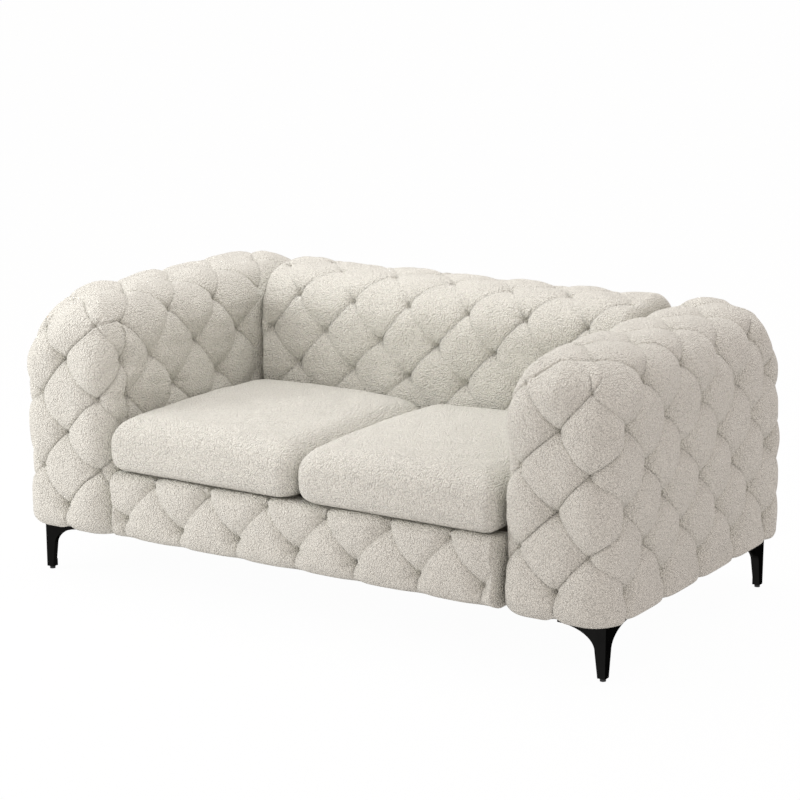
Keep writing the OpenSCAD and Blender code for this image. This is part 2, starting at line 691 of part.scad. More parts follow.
// Triangular blocks glued into the seat frame's corners
module corner_blocks() {
    leg = 2 * board_t;
    color(raw_wood)
        for (x = [-1, 1], y = [0, 1])
            translate([x * (seat_in_x - lie), y == 0 ? seat_board_y + board_t + lie :
                back_rear_y - board_t - lie, frame_low_z])
                mirror([x > 0 ? 1 : 0, 0, 0])
                    mirror([0, y, 0])
                        linear_extrude(rail_h) polygon([[0, 0], [leg, 0], [0, leg]]);
}

module joining_bolts() {
    // the head lies against the arm's inner board, the nut against the seat's side rail
    x0 = seat_in_x - lie - bolt_end;
    x1 = arm_x - arm_fw + board_t + lie;
    color(steel)
        for (side = [0, 1])
            mirror([side, 0, 0])
                for (share = bolt_row_shares)
                    translate([0, share * arm_fd, bolt_z])
                        rotate([0, 90, 0]) {
                            translate([0, 0, x0]) cylinder(r = bolt_r, h = x1 - x0, $fn = round_fn);
                            translate([0, 0, x1]) cylinder(r = bolt_head_r, h = bolt_head_h, $fn = 6);
                            translate([0, 0, x0 + bolt_end - bolt_head_h])
                                cylinder(r = bolt_head_r, h = bolt_head_h, $fn = 6);
                        }
}

// Zigzag springs from the front board to the spring rail, flat on both
spring_y0 = seat_board_y + board_t / 3;
spring_y1 = spring_rail_y + board_t * 2 / 3;
spring_bends = 16;
spring_amp = 22;
spring_step = 2 * (seat_in_x - spring_amp - 2 * board_t) / (spring_count - 1);

// One zigzag in plan: straight runs across, joined by half rings at alternate sides
module zigzag() {
    pitch = (spring_y1 - spring_y0) / spring_bends;
    r = pitch / 2;
    for (k = [0:spring_bends - 1]) {
        side = k % 2 == 0 ? 1 : -1;
        translate([side * spring_amp, spring_y0 + (k + 1 / 2) * pitch])
            intersection() {
                difference() {
                    circle(r + wire_r, $fn = round_fn);
                    circle(r - wire_r, $fn = round_fn);
                }
                translate([side * 2 * r, 0]) square(4 * r, center = true);
            }
    }
    for (k = [0:spring_bends])
        translate([0, spring_y0 + k * pitch])
            square([2 * spring_amp + wire_r / 2, 2 * wire_r], center = true);
}

module seat_springs() {
    color(steel)
        for (k = [0:spring_count - 1])
            translate([(k - (spring_count - 1) / 2) * spring_step, 0, frame_top_z + lie])
                linear_extrude(2 * wire_r) zigzag();
}

clip_w = 14;
clip_t = 1.2;

// Clips nailed to the boards in front of and behind each spring's end runs
module spring_clips() {
    color(steel)
        for (k = [0:spring_count - 1], y = [spring_y0 - wire_r - lie - clip_w / 2, spring_y1 + wire_r + lie])
            translate([(k - (spring_count - 1) / 2) * spring_step - clip_w / 2, y, frame_top_z])
                cube([clip_w, clip_w / 2, clip_t]);
}

module seat_deck() {
    color("#d8d2c4")
        box([-seat_hw, rail_front_y + rail_depth + lie, deck_z - deck_t],
            [seat_hw, back_f0 + webbing_t, deck_z]);
}

// Thin cloth under the whole frame, with holes for the leg screws
module dust_cover() {
    w = arm_x + arm_fw;
    color("#202020")
        difference() {
            union() {
                box([-seat_fx, seat_board_y, base_z], [seat_fx, back_rear_y, frame_low_z - lie / 2]);
                for (side = [-1, 1])
                    translate([side * arm_x - arm_fw, -arm_fd, base_z])
                        cube([2 * arm_fw, 2 * arm_fd, dust_t - lie / 2]);
            }
            for (side = [0, 1])
                mirror([side, 0, 0])
                    translate([arm_x, 0, 0])
                        at_leg_screws()
                            translate([0, 0, base_z - over])
                                cylinder(r = screw_r + stem_fit, h = dust_t + 2 * over, $fn = round_fn);
        }
}

// A wing of the leg, upright along x from the corner, with a curve under it into the column
module wing() {
    curve = [for (k = [0:curve_steps])
        let (t = 90 * k / curve_steps)
        [wing_len - (wing_len - leg_top_w) * sin(t),
            base_z - wing_curve_h + (wing_curve_h - wing_tip_h) * cos(t)]];
    translate([0, leg_wall, 0])
        rotate([90, 0, 0])
            linear_extrude(leg_wall)
                polygon(concat([[0, foot_z], [0, base_z], [wing_len, base_z]], curve,
                    [[leg_foot_w, foot_z]]));
}

// A leg with its corner at the origin and its wings along +x and +y
module leg() {
    reach = wing_len - wing_tip_h;
    color(black_metal)
        difference() {
            union() {
                wing();
                mirror([1, -1, 0]) wing();
                translate([0, 0, base_z - plate_t])
                    linear_extrude(plate_t)
                        polygon([[0, 0], [reach, 0], [reach, plate_w], [plate_w, reach], [0, reach]]);
                translate([0, 0, foot_z]) cube([leg_foot_w, leg_foot_w, foot_h]);
            }
            translate([leg_foot_w / 2, leg_foot_w / 2, foot_z - over])
                cylinder(r = stem_r + stem_fit, h = foot_h + 2 * over, $fn = round_fn);
            for (spot = screw_place_shares)
                translate([spot[0] * plate_w, spot[1] * plate_w, base_z - plate_t - over])
                    cylinder(r = screw_r + fit_gap, h = plate_t + 2 * over, $fn = round_fn);
        }
}

// Puts a leg's pieces at the corner given by sx and sy, each 1 or -1
module at_corner(sx, sy) {
    translate([sx * leg_x, sy * leg_y, 0])
        mirror([sx > 0 ? 1 : 0, 0, 0])
            mirror([0, sy > 0 ? 1 : 0, 0])
                children();
}

module leg_screws() {
    color(steel)
        for (sx = [-1, 1], sy = [-1, 1])
            at_corner(sx, sy)
                for (spot = screw_place_shares)
                    translate([spot[0] * plate_w, spot[1] * plate_w, base_z - plate_t - screw_head_h]) {
                        cylinder(r = screw_head_r, h = screw_head_h, $fn = round_fn);
                        cylinder(r = screw_r, h = screw_head_h + plate_t + screw_len, $fn = round_fn);
                    }
}

// A levelling glide: pad and threaded stem in one piece
module glide() {
    color(black_metal)
        translate([leg_foot_w / 2, leg_foot_w / 2, 0]) {
            cylinder(r = glide_r, h = glide_h, $fn = round_fn);
            cylinder(r = stem_r, h = foot_z + foot_h - lie, $fn = round_fn);
        }
}

// Points of a rounded rectangle of half sizes hx, hy and corner radius r, at height z
corner_fn = 5;
edge_fn = 4;
function plan_ring(hx, hy, r) =
    let (corners = [[1, 1], [-1, 1], [-1, -1], [1, -1]])
    [for (c = [0:3])
        let (m = corners[c], n = corners[(c + 1) % 4], p = [m[0] * (hx - r), m[1] * (hy - r)],
            q = [n[0] * (hx - r), n[1] * (hy - r)], out = [cos(90 * c + 90), sin(90 * c + 90)] * r)
        each [for (k = [0:corner_fn]) p + r * [cos(90 * (c + k / corner_fn)), sin(90 * (c + k / corner_fn))],
            for (k = [1:edge_fn - 1]) p + out + (q - p) * k / edge_fn]];

// A closed form through rings of points, n to a ring, capped by a point at each end
module ring_form(points, n, low, high) {
    count = len(points) / n;
    sides = [for (j = [0:count - 2], i = [0:n - 1])
        let (k = (i + 1) % n, a = j * n + i, b = j * n + k)
        each [[a, b + n, b], [a, a + n, b + n]]];
    caps = [for (i = [0:n - 1]) each [[i, (i + 1) % n, count * n],
        [(count - 1) * n + (i + 1) % n, (count - 1) * n + i, count * n + 1]]];
    polyhedron(concat(points, [low, high]), concat(sides, caps));
}

// Height of a cushion's top or bottom over its side profile at x, y
function crown_at(x, y) =
    let (u = x / cushion_hw, v = y / cushion_hd)
    cushion_crown * ((1 - u * u) * (1 - v * v) - corner_drop_share * u * u * v * v);

function cushion_point(p, share) =
    [p[0], p[1], cushion_low_z + share * cushion_t + crown_at(p[0], p[1]) * unit(2 * share - 1)];

// A seat cushion's outer form about its own middle
module cushion_form() {
    rings = [for (e = cushion_side_shares)
        let (inset = e[0] * cushion_t, r = max(least_r, cushion_corner_r - inset / 2))
        [for (p = plan_ring(cushion_hw - inset, cushion_hd - inset, r)) cushion_point(p, e[1])]];
    n = len(rings[0]);
    ring_form([for (ring = rings) each ring], n, [0, 0, cushion_low_z], cushion_point([0, 0], 1));
}

core_inset = 40;
core_h_share = 0.78;

// The foam core, cut square, and the cover that is drawn over it
module cushion_core() {
    color(foam_white)
        box([core_inset + lie - cushion_hw, core_inset + lie - cushion_hd, cushion_low_z + cover_t + lie],
            [cushion_hw - core_inset - lie, cushion_hd - core_inset - lie,
                cushion_low_z + cushion_t * core_h_share - lie]);
}

module cushion_cover() {
    color(cream)
        difference() {
            cushion_form();
            box([core_inset - cushion_hw, core_inset - cushion_hd, cushion_low_z + cover_t],
                [cushion_hw - core_inset, cushion_hd - core_inset, cushion_low_z + cushion_t * core_h_share]);
        }
}

module at_seat(side) {
    translate([side * cushion_x, cushion_mid_y, 0]) children();
}

panel_t = 20;
panel_r = 18;

// Plain padded panel that closes the back behind, a little crowned
module outside_back_panel() {
    mid_z = (base_z + shoulder_z - top_r / 2) / 2;
    hz = mid_z - base_z;
    shares = [[0, 0], [0, 0.5], [0.35, 0.85], [1, 1], [4, 1.25]];
    rings = [for (e = shares)
        let (inset = e[0] * panel_r / 2)
        [for (p = plan_ring(seat_hw - inset, hz - inset, panel_r))
            [p[0], back_rear_y + lie + e[1] * panel_t, mid_z - p[1]]]];
    color(cream)
        ring_form([for (ring = rings) each ring], len(rings[0]), [0, back_rear_y + lie, mid_z],
            [0, back_rear_y + lie + panel_t * 3 / 2, mid_z]);
}

module right_side() {
    translate([arm_x, 0, 0]) children();
}

module left_side() {
    mirror([1, 0, 0]) right_side() children();
}

right_side() arm_frame();  // arm_frame_right
left_side() arm_frame();  // arm_frame_left
right_side() arm_panels();  // arm_panels_right
left_side() arm_panels();  // arm_panels_left
right_side() arm_foam();  // arm_foam_right
left_side() arm_foam();  // arm_foam_left
right_side() arm_cover();  // arm_cover_right
left_side() arm_cover();  // arm_cover_left
seat_frame();
corner_blocks();
front_rail_foam();
front_rail_cover();
back_frame();
back_webbing();
back_foam();
back_cover();
outside_back_panel();
seat_springs();
spring_clips();
seat_deck();
dust_cover();
joining_bolts();
at_corner(1, -1) leg();  // leg_front_right
at_corner(-1, -1) leg();  // leg_front_left
at_corner(1, 1) leg();  // leg_rear_right
at_corner(-1, 1) leg();  // leg_rear_left
leg_screws();
at_corner(1, -1) glide();  // glide_front_right
at_corner(-1, -1) glide();  // glide_front_left
at_corner(1, 1) glide();  // glide_rear_right
at_corner(-1, 1) glide();  // glide_rear_left
at_seat(1) cushion_core();  // cushion_core_right
at_seat(-1) cushion_core();  // cushion_core_left
at_seat(1) cushion_cover();  // cushion_cover_right
at_seat(-1) cushion_cover();  // cushion_cover_left
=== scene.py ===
"""Visual model of a tufted two-seat tuxedo sofa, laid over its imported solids."""

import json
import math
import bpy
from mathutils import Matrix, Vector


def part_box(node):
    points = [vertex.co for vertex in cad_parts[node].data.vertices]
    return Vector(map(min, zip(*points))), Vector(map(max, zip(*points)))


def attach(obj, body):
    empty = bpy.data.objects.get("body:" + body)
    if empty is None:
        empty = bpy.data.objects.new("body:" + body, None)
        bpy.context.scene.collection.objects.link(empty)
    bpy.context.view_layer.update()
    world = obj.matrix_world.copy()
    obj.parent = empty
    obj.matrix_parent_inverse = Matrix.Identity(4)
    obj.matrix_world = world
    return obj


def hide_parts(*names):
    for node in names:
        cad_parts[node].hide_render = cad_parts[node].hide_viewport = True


bl_info = {
    "name": "Tufted Tuxedo Sofa",
    "version": (1, 0, 0),
    "blender": (4, 5, 0),
    "location": "View3D > Sidebar > Sofa",
    "description": "Builds the upholstery, finishes and stage of a tufted two-seat sofa",
    "category": "Object",
}

import bpy
import numpy as np

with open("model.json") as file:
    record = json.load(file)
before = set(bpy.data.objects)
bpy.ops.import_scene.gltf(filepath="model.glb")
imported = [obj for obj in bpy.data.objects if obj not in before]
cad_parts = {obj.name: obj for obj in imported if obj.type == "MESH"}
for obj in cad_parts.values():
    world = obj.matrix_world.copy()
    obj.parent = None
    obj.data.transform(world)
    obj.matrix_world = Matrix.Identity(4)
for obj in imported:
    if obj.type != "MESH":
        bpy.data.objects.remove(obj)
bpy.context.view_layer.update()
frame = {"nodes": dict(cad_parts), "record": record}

# Half the lattice columns along an arm's side, the rows up to its shoulder, and how far round its
# end the columns there stand. A ring of columns is the two sides and the two ends.
ARM_COLUMNS, ARM_ROWS = 4, 6
END_SHARES = (0.0, 0.27, 0.49, 0.765, 0.955, 1.0)
END_STEPS = len(END_SHARES) - 1
RING = 4 * ARM_COLUMNS + 2 * END_STEPS
ARM_END = 0.077  # from an arm's end to the last column on its side
# Half the columns along the back and the front rail, and the back's rows below its front edge and
# over it.
SEAT_COLUMNS, BACK_ROWS, REAR_ROWS = 6, 4, 2
CLEARANCE = 0.0003  # between neighbours
EDGE_FADE = 0.05  # over which the tufting fades where it is hidden
FOLD_FADE = 0.03  # over which the folds fade towards the lower edge
LEAST_RADIUS = 0.002  # of an arm's ring of columns, and half its width along the crest
SAME = 1e-6  # what rounding may change
TINY = 1e-12  # keeps a divisor from zero

# Name, place, target, size and, for a spot, the angle of the cone.
LAMPS = (
    ("key", (-2.0, -1.6, 1.4), (0.0, 0.0, 0.35), 1.0, None),
    ("top", (-0.3, 0.4, 3.4), (0.0, 0.1, 0.4), 2.2, None),
    ("back", (-0.5, -2.9, 2.1), (0.0, 0.2, 0.46), 0.3, math.radians(26.0)),
)
LAMP_COLOUR = (0.985, 0.99, 1.0)
# The camera, as it was fitted to the photograph.
CAMERA_PLACE = (3.0026, -4.6963, 1.7236)
CAMERA_TURN = (math.radians(76.1565), 0.0, math.radians(32.593))
CAMERA_LENS, SENSOR_WIDTH, CAMERA_SHIFT = 104.02, 36.0, (-0.00035, 0.0526)
VIEW_END = 200.0  # as far as the camera sees
FLOOR_SIZE, FLOOR_GLOW, FLOOR_COLOUR = 60.0, 0.975, (0.86, 0.86, 0.86, 1.0)


def length(name, words, default):
    return bpy.props.FloatProperty(
        name=name, description=words, default=default, unit="LENGTH", precision=4
    )


def lengths(name, words, default):
    return bpy.props.FloatVectorProperty(
        name=name, description=words, default=default, size=len(default), unit="LENGTH"
    )


def share(name, words, default):
    return bpy.props.FloatProperty(
        name=name, description=words, default=default, min=0.0, max=1.0, subtype="FACTOR"
    )


def number(name, words, default, unit="NONE"):
    return bpy.props.FloatProperty(name=name, description=words, default=default, unit=unit)


def colour(name, words, default):
    return bpy.props.FloatVectorProperty(
        name=name, description=words, default=default, size=3, min=0.0, max=1.0, subtype="COLOR"
    )


class SofaForm(bpy.types.PropertyGroup):
    """Sizes of the form under the tufting, between the bottoms of the tufts, as in the solids"""

    width: length("Width", "Over the arms", 1.604)
    depth: length("Depth", "Of the arms", 0.894)
    height: length("Height", "Of the arms and back", 0.706)
    base: length("Underside", "Height of the underside above the floor", 0.128)
    arm_width: length("Arm width", "Of each arm", 0.229)
    top_radius: length("Top radius", "Along the top edges of the arms and back", 0.080)
    corner_radius: length("Corner radius", "Of the arms' upright corners", 0.045)
    back_thickness: length("Back thickness", "Of the back", 0.230)
    back_inset: length("Back inset", "From the arms' rear to the back's rear", 0.037)
    back_end: length("Back end radius", "Of the back's upright ends", 0.024)
    deck: length("Deck height", "Of the deck under the cushions", 0.300)
    rail_proud: length("Rail", "How far the front rail stands before the arms", 0.002)
    rail_edge: length("Rail edge radius", "Along the front rail's edges", 0.012)
    rail_end: length("Rail end radius", "Of the front rail's ends", 0.010)
    rail_depth: length("Rail depth", "Of the front rail's cover", 0.064)
    rail_base: length("Rail underside", "Height of the front rail's underside", 0.131)


class SofaTufting(bpy.types.PropertyGroup):
    """Lattice, height and folds of the tufting"""

    seat_step: length("Back column step", "Half a diamond along the back and rail", 0.08445)
    row_step: length("Arm row step", "Half a diamond up the arms", 0.0914583)
    back_row: length("Back row step", "Half a diamond up the back", 0.088)
    first_row: length("Lowest tufts", "Above the underside", 0.068)
    rail_low: length("Rail lower tufts", "Above the underside", 0.055)
    rail_up: length("Rail upper tufts", "Above the underside", 0.149)
    puff: length("Puff", "How far the diamonds stand out", 0.030)
    inner_puff: length("Inner puff", "The same beside the cushions", 0.026)
    top_puff: length("Top puff", "The same on top", 0.017)
    rail_puff: length("Rail puff", "The same on the front rail", 0.028)
    rail_top_puff: length("Rail top puff", "The same on top of the rail", 0.009)
    reach: length("Pleat reach", "How far from a pleat the padding is drawn in", 0.062)
    pleat: share("Pleat depth", "Part of the puff that one pleat takes at a tuft", 0.42)
    middle: share("Middle depth", "The same midway between two tufts", 0.26)
    fold: length("Fold depth", "Of the narrow fold along a pleat", 0.0066)
    fold_width: length("Fold width", "Of that fold", 0.0020)
    wobble: length("Wobble", "How far the work strays from the lattice", 0.0028)
    pit: share("Tuft depth", "Part of what is left that a tuft takes", 0.6)
    pit_width: length("Tuft width", "Of the pit at a tuft", 0.0075)
    dimple: length("Dimple depth", "Of the dimple at the bottom of that pit", 0.0065)
    dimple_width: length("Dimple width", "Of that dimple", 0.0058)
    gather: length("Gathers", "Height of the small folds round a tuft", 0.0042)
    corner_reach: length("Corner reach", "Of the arms' top corners that are drawn in", 0.150)
    corner_draw: number("Corner depth", "Share of the puff that those corners lose", 1.25)
    right_sink: lengths("Right corners", "Sink of the right arm's top corners", (0.006, 0.012))
    left_sink: lengths("Left corners", "The same on the left arm", (0.027, 0.004))
    right_draw: lengths("Right draw", "Inward draw of the right arm's corners", (0.0, 0.012))
    draw_drop: length("Draw drop", "From a top corner down to the middle of its draw", 0.13)
    sink_reach: length("Sink reach", "Over which those corners move", 0.200)
    side_hem: length("Side hem radius", "Of the lower edge along the arms' sides", 0.011)
    front_hem: length("Front hem radius", "Of the lower edge along the front and rear", 0.042)
    scallop: length("Scallop", "How far the lower edge rises at an upright pleat", 0.009)
    scallop_width: length("Scallop width", "Of that rise", 0.015)
    rail_scallop: length("Rail scallop", "The same rise on the front rail", 0.006)
    rail_scallop_width: length("Rail scallop width", "Of that rise", 0.030)
    detail: bpy.props.IntProperty(
        name="Detail", description="Faces along half a diamond", default=28, min=6, max=40
    )


class SofaCushions(bpy.types.PropertyGroup):
    """Shape of the loose seat cushions"""

    crown: length("Crown", "Rise of the middle over the sides", 0.014)
    corner: length("Corner radius", "Of the upright corners", 0.048)
    arm_corner: length("Arm corner radius", "Of the front corner beside the arm", 0.028)
    droop: share("Droop", "Share of the crown by which the corners lie lower", 0.5)
    front_power: number("Front edge", "Squareness of the top edge in front", 2.15)
    rear_power: number("Other edges", "Squareness of the other top edges", 2.4)
    low_power: number("Lower edge", "Squareness of the lower edges", 3.8)


class SofaColours(bpy.types.PropertyGroup):
    """Colours of the finishes"""

    cream: colour("Cream", "Looped fabric where it catches the light", (0.945, 0.945, 0.852))
    # The deep cream is painted shade: the colour given to the gaps between the loops, where the
    # loops would shade them.
    cream_painted_shade: colour("Deep cream", "The same between the loops", (0.500, 0.495, 0.435))
    black: colour("Black", "Powder coat on the legs", (0.009, 0.0088, 0.0085))
    wood: colour("Wood", "Planed softwood of the frame", (0.52, 0.34, 0.18))
    steel: colour("Steel", "Zinc plate on springs, bolts and screws", (0.46, 0.48, 0.49))
    deck: colour("Deck cloth", "Plain cloth over the springs", (0.52, 0.48, 0.40))
    dust: colour("Dust cloth", "Thin cloth under the frame", (0.025, 0.025, 0.026))
    straps: colour("Straps", "Elastic webbing", (0.05, 0.05, 0.048))


class SofaStage(bpy.types.PropertyGroup):
    """Levels of the studio light"""

    ambient: share("Ambient", "Strength of the even light from all round", 0.825)
    tint: colour("Ambient tint", "Colour of that light", (1.0, 0.90, 0.885))
    key: number("Key light", "Power", 27.0, "POWER")
    top: number("Top light", "Power", 47.0, "POWER")
    back: number("Back light", "Power", 68.0, "POWER")


def unit(v):
    return np.clip(v, 0.0, 1.0)


def ease(v):
    v = unit(v)
    return v * v * (3.0 - 2.0 * v)


def mix(a, b, t):
    return a + (b - a) * t


def ripple(points, wavelength, seed):
    """Smooth noise of about -1 to 1: sines of the place along seven directions, added up."""
    rng = np.random.default_rng(seed)
    total, count, spread = np.zeros(points.shape[:-1]), 7, 3.2
    for _ in range(count):
        way = rng.normal(size=3)
        way *= 2.0 * math.pi / wavelength * rng.uniform(0.6, 1.5) / np.linalg.norm(way)
        total += np.sin(points @ way + rng.uniform(0.0, 2.0 * math.pi))
    return total / spread


def corners(rows, columns, wrap=True):
    """Numbers of the four corners of every square of a grid of points."""
    across = columns if wrap else columns - 1
    row, column = np.meshgrid(np.arange(rows - 1), np.arange(across), indexing="ij")
    a, b = row * columns + column, row * columns + (column + 1) % columns
    return a, b, a + columns, b + columns


def square_faces(rows, columns, wrap=True):
    """Four-cornered faces over a grid, outward where rows run up and columns run round."""
    a, b, c, d = corners(rows, columns, wrap)
    return np.stack([a, b, d, c], -1).reshape(-1, 4).tolist()


def lattice_faces(row_unit, column_unit):
    """Triangles over a grid. Each square splits along the lattice's own diagonal, which runs from a
    tuft to the next: up where the whole row and column numbers add to an even number."""
    a, b, c, d = corners(len(row_unit), len(column_unit))
    rising = ((column_unit[None, :] + row_unit[:-1, None]) % 2 == 0)[..., None]
    first = np.where(rising, np.stack([a, b, d], -1), np.stack([a, b, c], -1))
    second = np.where(rising, np.stack([a, d, c], -1), np.stack([b, d, c], -1))
    return np.concatenate([first.reshape(-1, 3), second.reshape(-1, 3)]).tolist()


def fan(start, count, pole):
    """Triangles from a closed ring of points to its pole."""
    a = np.arange(count)
    return np.stack([start + a, start + (a + 1) % count, np.full_like(a, pole)], -1).tolist()


def turned(faces):
    """The same faces, looking the other way."""
    return [face[::-1] for face in faces]


def make_piece(name, points, faces, body, material, replaced):
    """Puts points and faces into a smooth mesh that rides on its body in place of the replaced
    nodes."""
    mesh = bpy.data.meshes.new(name)
    mesh.from_pydata(np.asarray(points, float).reshape(-1, 3), [], faces)
    mesh.validate()
    mesh.polygons.foreach_set("use_smooth", np.ones(len(mesh.polygons), bool))
    mesh.update()
    mesh.materials.append(material)
    piece = bpy.data.objects.new(name, mesh)
    bpy.context.collection.objects.link(piece)
    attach(piece, body)
    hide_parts(*replaced)
    return piece


class Pleat:
    """A fold from tuft to tuft along points on the form: its pull on the padding, and how much of
    the narrow fold runs through its middle and through its two ends."""

    def __init__(self, points, pull=1.0, through=0.3, ends=(1.0, 1.0)):
        self.points = np.asarray(points, float)
        self.pull, self.through, self.ends = pull, through, ends

    def near(self, places, reach):
        """Numbers of the places that the fold may reach."""
        middle = self.points[len(self.points) // 2]
        room = reach + np.linalg.norm(self.points - middle, axis=1).max()
        return np.nonzero(((places - middle) ** 2).sum(-1) < room * room)[0]

    def parts(self, places):
        """For each straight part: the distance to it, how near an end of the fold the place is,
        from 0 at the middle to 1 at the tuft, and how deep the fold runs there."""
        count = len(self.points) - 1
        for k in range(count):
            start, way = self.points[k], self.points[k + 1] - self.points[k]
            t = unit(((places - start) @ way) / max(way @ way, TINY))
            off = places - start - t[:, None] * way
            along = (k + t) / count
            near = np.abs(1.0 - 2.0 * along)
            deepest = np.where(along < 0.5, *self.ends)
            yield np.sqrt((off**2).sum(-1)), near, mix(self.through, deepest, near**1.5)


def path(spot, a, middle, b, steps=3):
    """Places on the form along a fold: from a to its middle and on to b, by steps in each half."""
    a, middle, b = (np.array(p, float) for p in (a, middle, b))
    ways = [a + (middle - a) * k / steps for k in range(steps)]
    ways += [middle + (b - middle) * k / steps for k in range(steps + 1)]
    return [spot(*way)[0] for way in ways]


def padding(points, pleats, tufts, tufting, seed):
    """Share of the full puff left at each point, and the relief of folds and gathers, in metres.

    Each pleat multiplies the share by 1 - take (1 - d / reach)^3.2, with d the distance to it and
    take rising from its middle to its tufts. Its fold goes exp(-|d / width|^1.6) deeper still. Each
    tuft multiplies the share by 1 - pit exp(-(r / width)^2) and sinks a dimple of the same form.
    The gathers are sines of five and eight times the angle round a tuft, fading outward."""
    flat = points.reshape(-1, 3)
    share_left, relief = np.ones(len(flat)), np.zeros(len(flat))
    for pleat in pleats:
        index = pleat.near(flat, tufting.reach)
        most, fold = np.zeros(len(index)), np.zeros(len(index))
        for d, end, depth in pleat.parts(flat[index]):
            take = mix(tufting.middle, tufting.pleat, end)
            most = np.maximum(most, pleat.pull * take * unit(1.0 - d / tufting.reach) ** 3.2)
            fold = np.maximum(fold, depth * np.exp(-((d / tufting.fold_width) ** 1.6)))
        share_left[index] *= 1.0 - most
        relief[index] = np.minimum(relief[index], -tufting.fold * fold)
    rng = np.random.default_rng(seed + 17)
    tuft_reach, gather_start, gather_fade = 0.06, 0.005, 0.013
    for place, normal in tufts:
        index = np.nonzero(((flat - place) ** 2).sum(-1) < tuft_reach**2)[0]
        off = flat[index] - place
        r = np.sqrt((off**2).sum(-1))
        east = np.cross([0.0, 0.0, 1.0], normal)
        east /= max(np.linalg.norm(east), TINY)
        angle = np.arctan2(off @ np.cross(normal, east), off @ east)
        share_left[index] *= 1.0 - tufting.pit * np.exp(-((r / tufting.pit_width) ** 2))
        relief[index] -= tufting.dimple * np.exp(-((r / tufting.dimple_width) ** 2))
        folds = np.sin(5 * angle + rng.uniform(0, 6.28))
        folds += 0.7 * np.sin(8 * angle + rng.uniform(0, 6.28))
        weight = (r / (r + gather_start)) * np.exp(-r / gather_fade) * rng.uniform(0.5, 1.3)
        relief[index] += tufting.gather * folds * weight
    return share_left.reshape(points.shape[:-1]), relief.reshape(points.shape[:-1])


def handmade(points, base, tufting, seed):
    """Lets the work stray from its lattice by a smooth ripple, and the fabric be a little uneven,
    but leaves the lower edge where it is."""
    slow, quick, uneven, fade = 0.17, 0.035, 0.0005, 0.04
    stray = np.stack([ripple(points, slow, seed + k) for k in range(3)], -1) * tufting.wobble
    stray += ripple(points, quick, seed + 5)[..., None] * uneven
    return points + stray * unit((points[..., 2:] - base) / fade)


def arm_sizes(form):
    """Half an arm's width and depth, the lengths of its wall and of the arc over it, and the place
    of the last column on its side."""
    hd, wall = form.depth / 2, form.height - form.top_radius - form.base
    return form.arm_width / 2, hd, wall, math.pi * form.top_radius / 2, hd - ARM_END


def end_path(s, hw, hd, r, y0):
    """Place at distance s round an arm's front end: a run along the outer side, a quarter circle,
    the flat end, a quarter circle and a run back along the inner side. Returns x, y and the outward
    direction."""
    run, bend, face = hd - r - y0, math.pi * r / 2, 2 * (hw - r)
    first = unit((s - run) / bend) * (math.pi / 2)
    second = unit((s - run - bend - face) / bend) * (math.pi / 2)
    along = np.clip(s, 0.0, run)
    back = np.clip(s - run - 2 * bend - face, 0.0, run)
    across = np.clip(s - run - bend, 0.0, face)
    x = hw - r + r * np.cos(first) - across - r * np.sin(second)
    y = -y0 - along - r * np.sin(first) + r * (1.0 - np.cos(second)) + back
    return x, y, np.cos(first) - np.sin(second), -np.sin(first) * np.cos(second)


def arm_form(g, s, form):
    """Point and outward direction under the tufting, for ring column g and length s up the side.

    The outline up the side is a straight wall, a quarter circle and a flat top. The ring is a
    rectangle with round corners, drawn in as the outline rises. Its columns are evenly spaced along
    the sides and stand at fixed shares of the way round each end."""
    hw, hd, wall, arc, last = arm_sizes(form)
    tilt = unit((s - wall) / arc) * (math.pi / 2)
    inset = form.top_radius * (1.0 - np.cos(tilt)) + np.maximum(0.0, s - wall - arc)
    z = form.base + np.clip(s, 0.0, wall) + form.top_radius * np.sin(tilt)
    hw, hd = hw - inset, hd - inset
    r = np.maximum(LEAST_RADIUS, form.corner_radius - inset)
    y0 = np.minimum(last, hd - r)
    around = 2 * (hd - r - y0) + math.pi * r + 2 * (hw - r)
    c, e, k = ARM_COLUMNS, END_STEPS, np.mod(g, RING)
    outer, inner = k <= 2 * c, (k >= 2 * c + e) & (k <= 4 * c + e)
    rear = ~outer & (k < 2 * c + e)
    t = np.where(rear, k - 2 * c, 4 * c + 2 * e - k)
    ex, ey, enx, eny = end_path(np.interp(t, np.arange(e + 1), END_SHARES) * around, hw, hd, r, y0)
    flip = np.where(rear, -1.0, 1.0)
    x = np.where(outer, hw, np.where(inner, -hw, ex))
    inner_y = (1 - (k - 2 * c - e) / c) * y0
    y = np.where(outer, (k / c - 1) * y0, np.where(inner, inner_y, ey * flip))
    nx = np.where(outer, 1.0, np.where(inner, -1.0, enx))
    ny = np.where(outer | inner, 0.0, eny * flip)
    zeros = np.zeros_like(x)
    outward = np.stack([nx * np.cos(tilt), ny * np.cos(tilt), np.sin(tilt) + zeros], -1)
    return np.stack([x, y, z + zeros], -1), outward


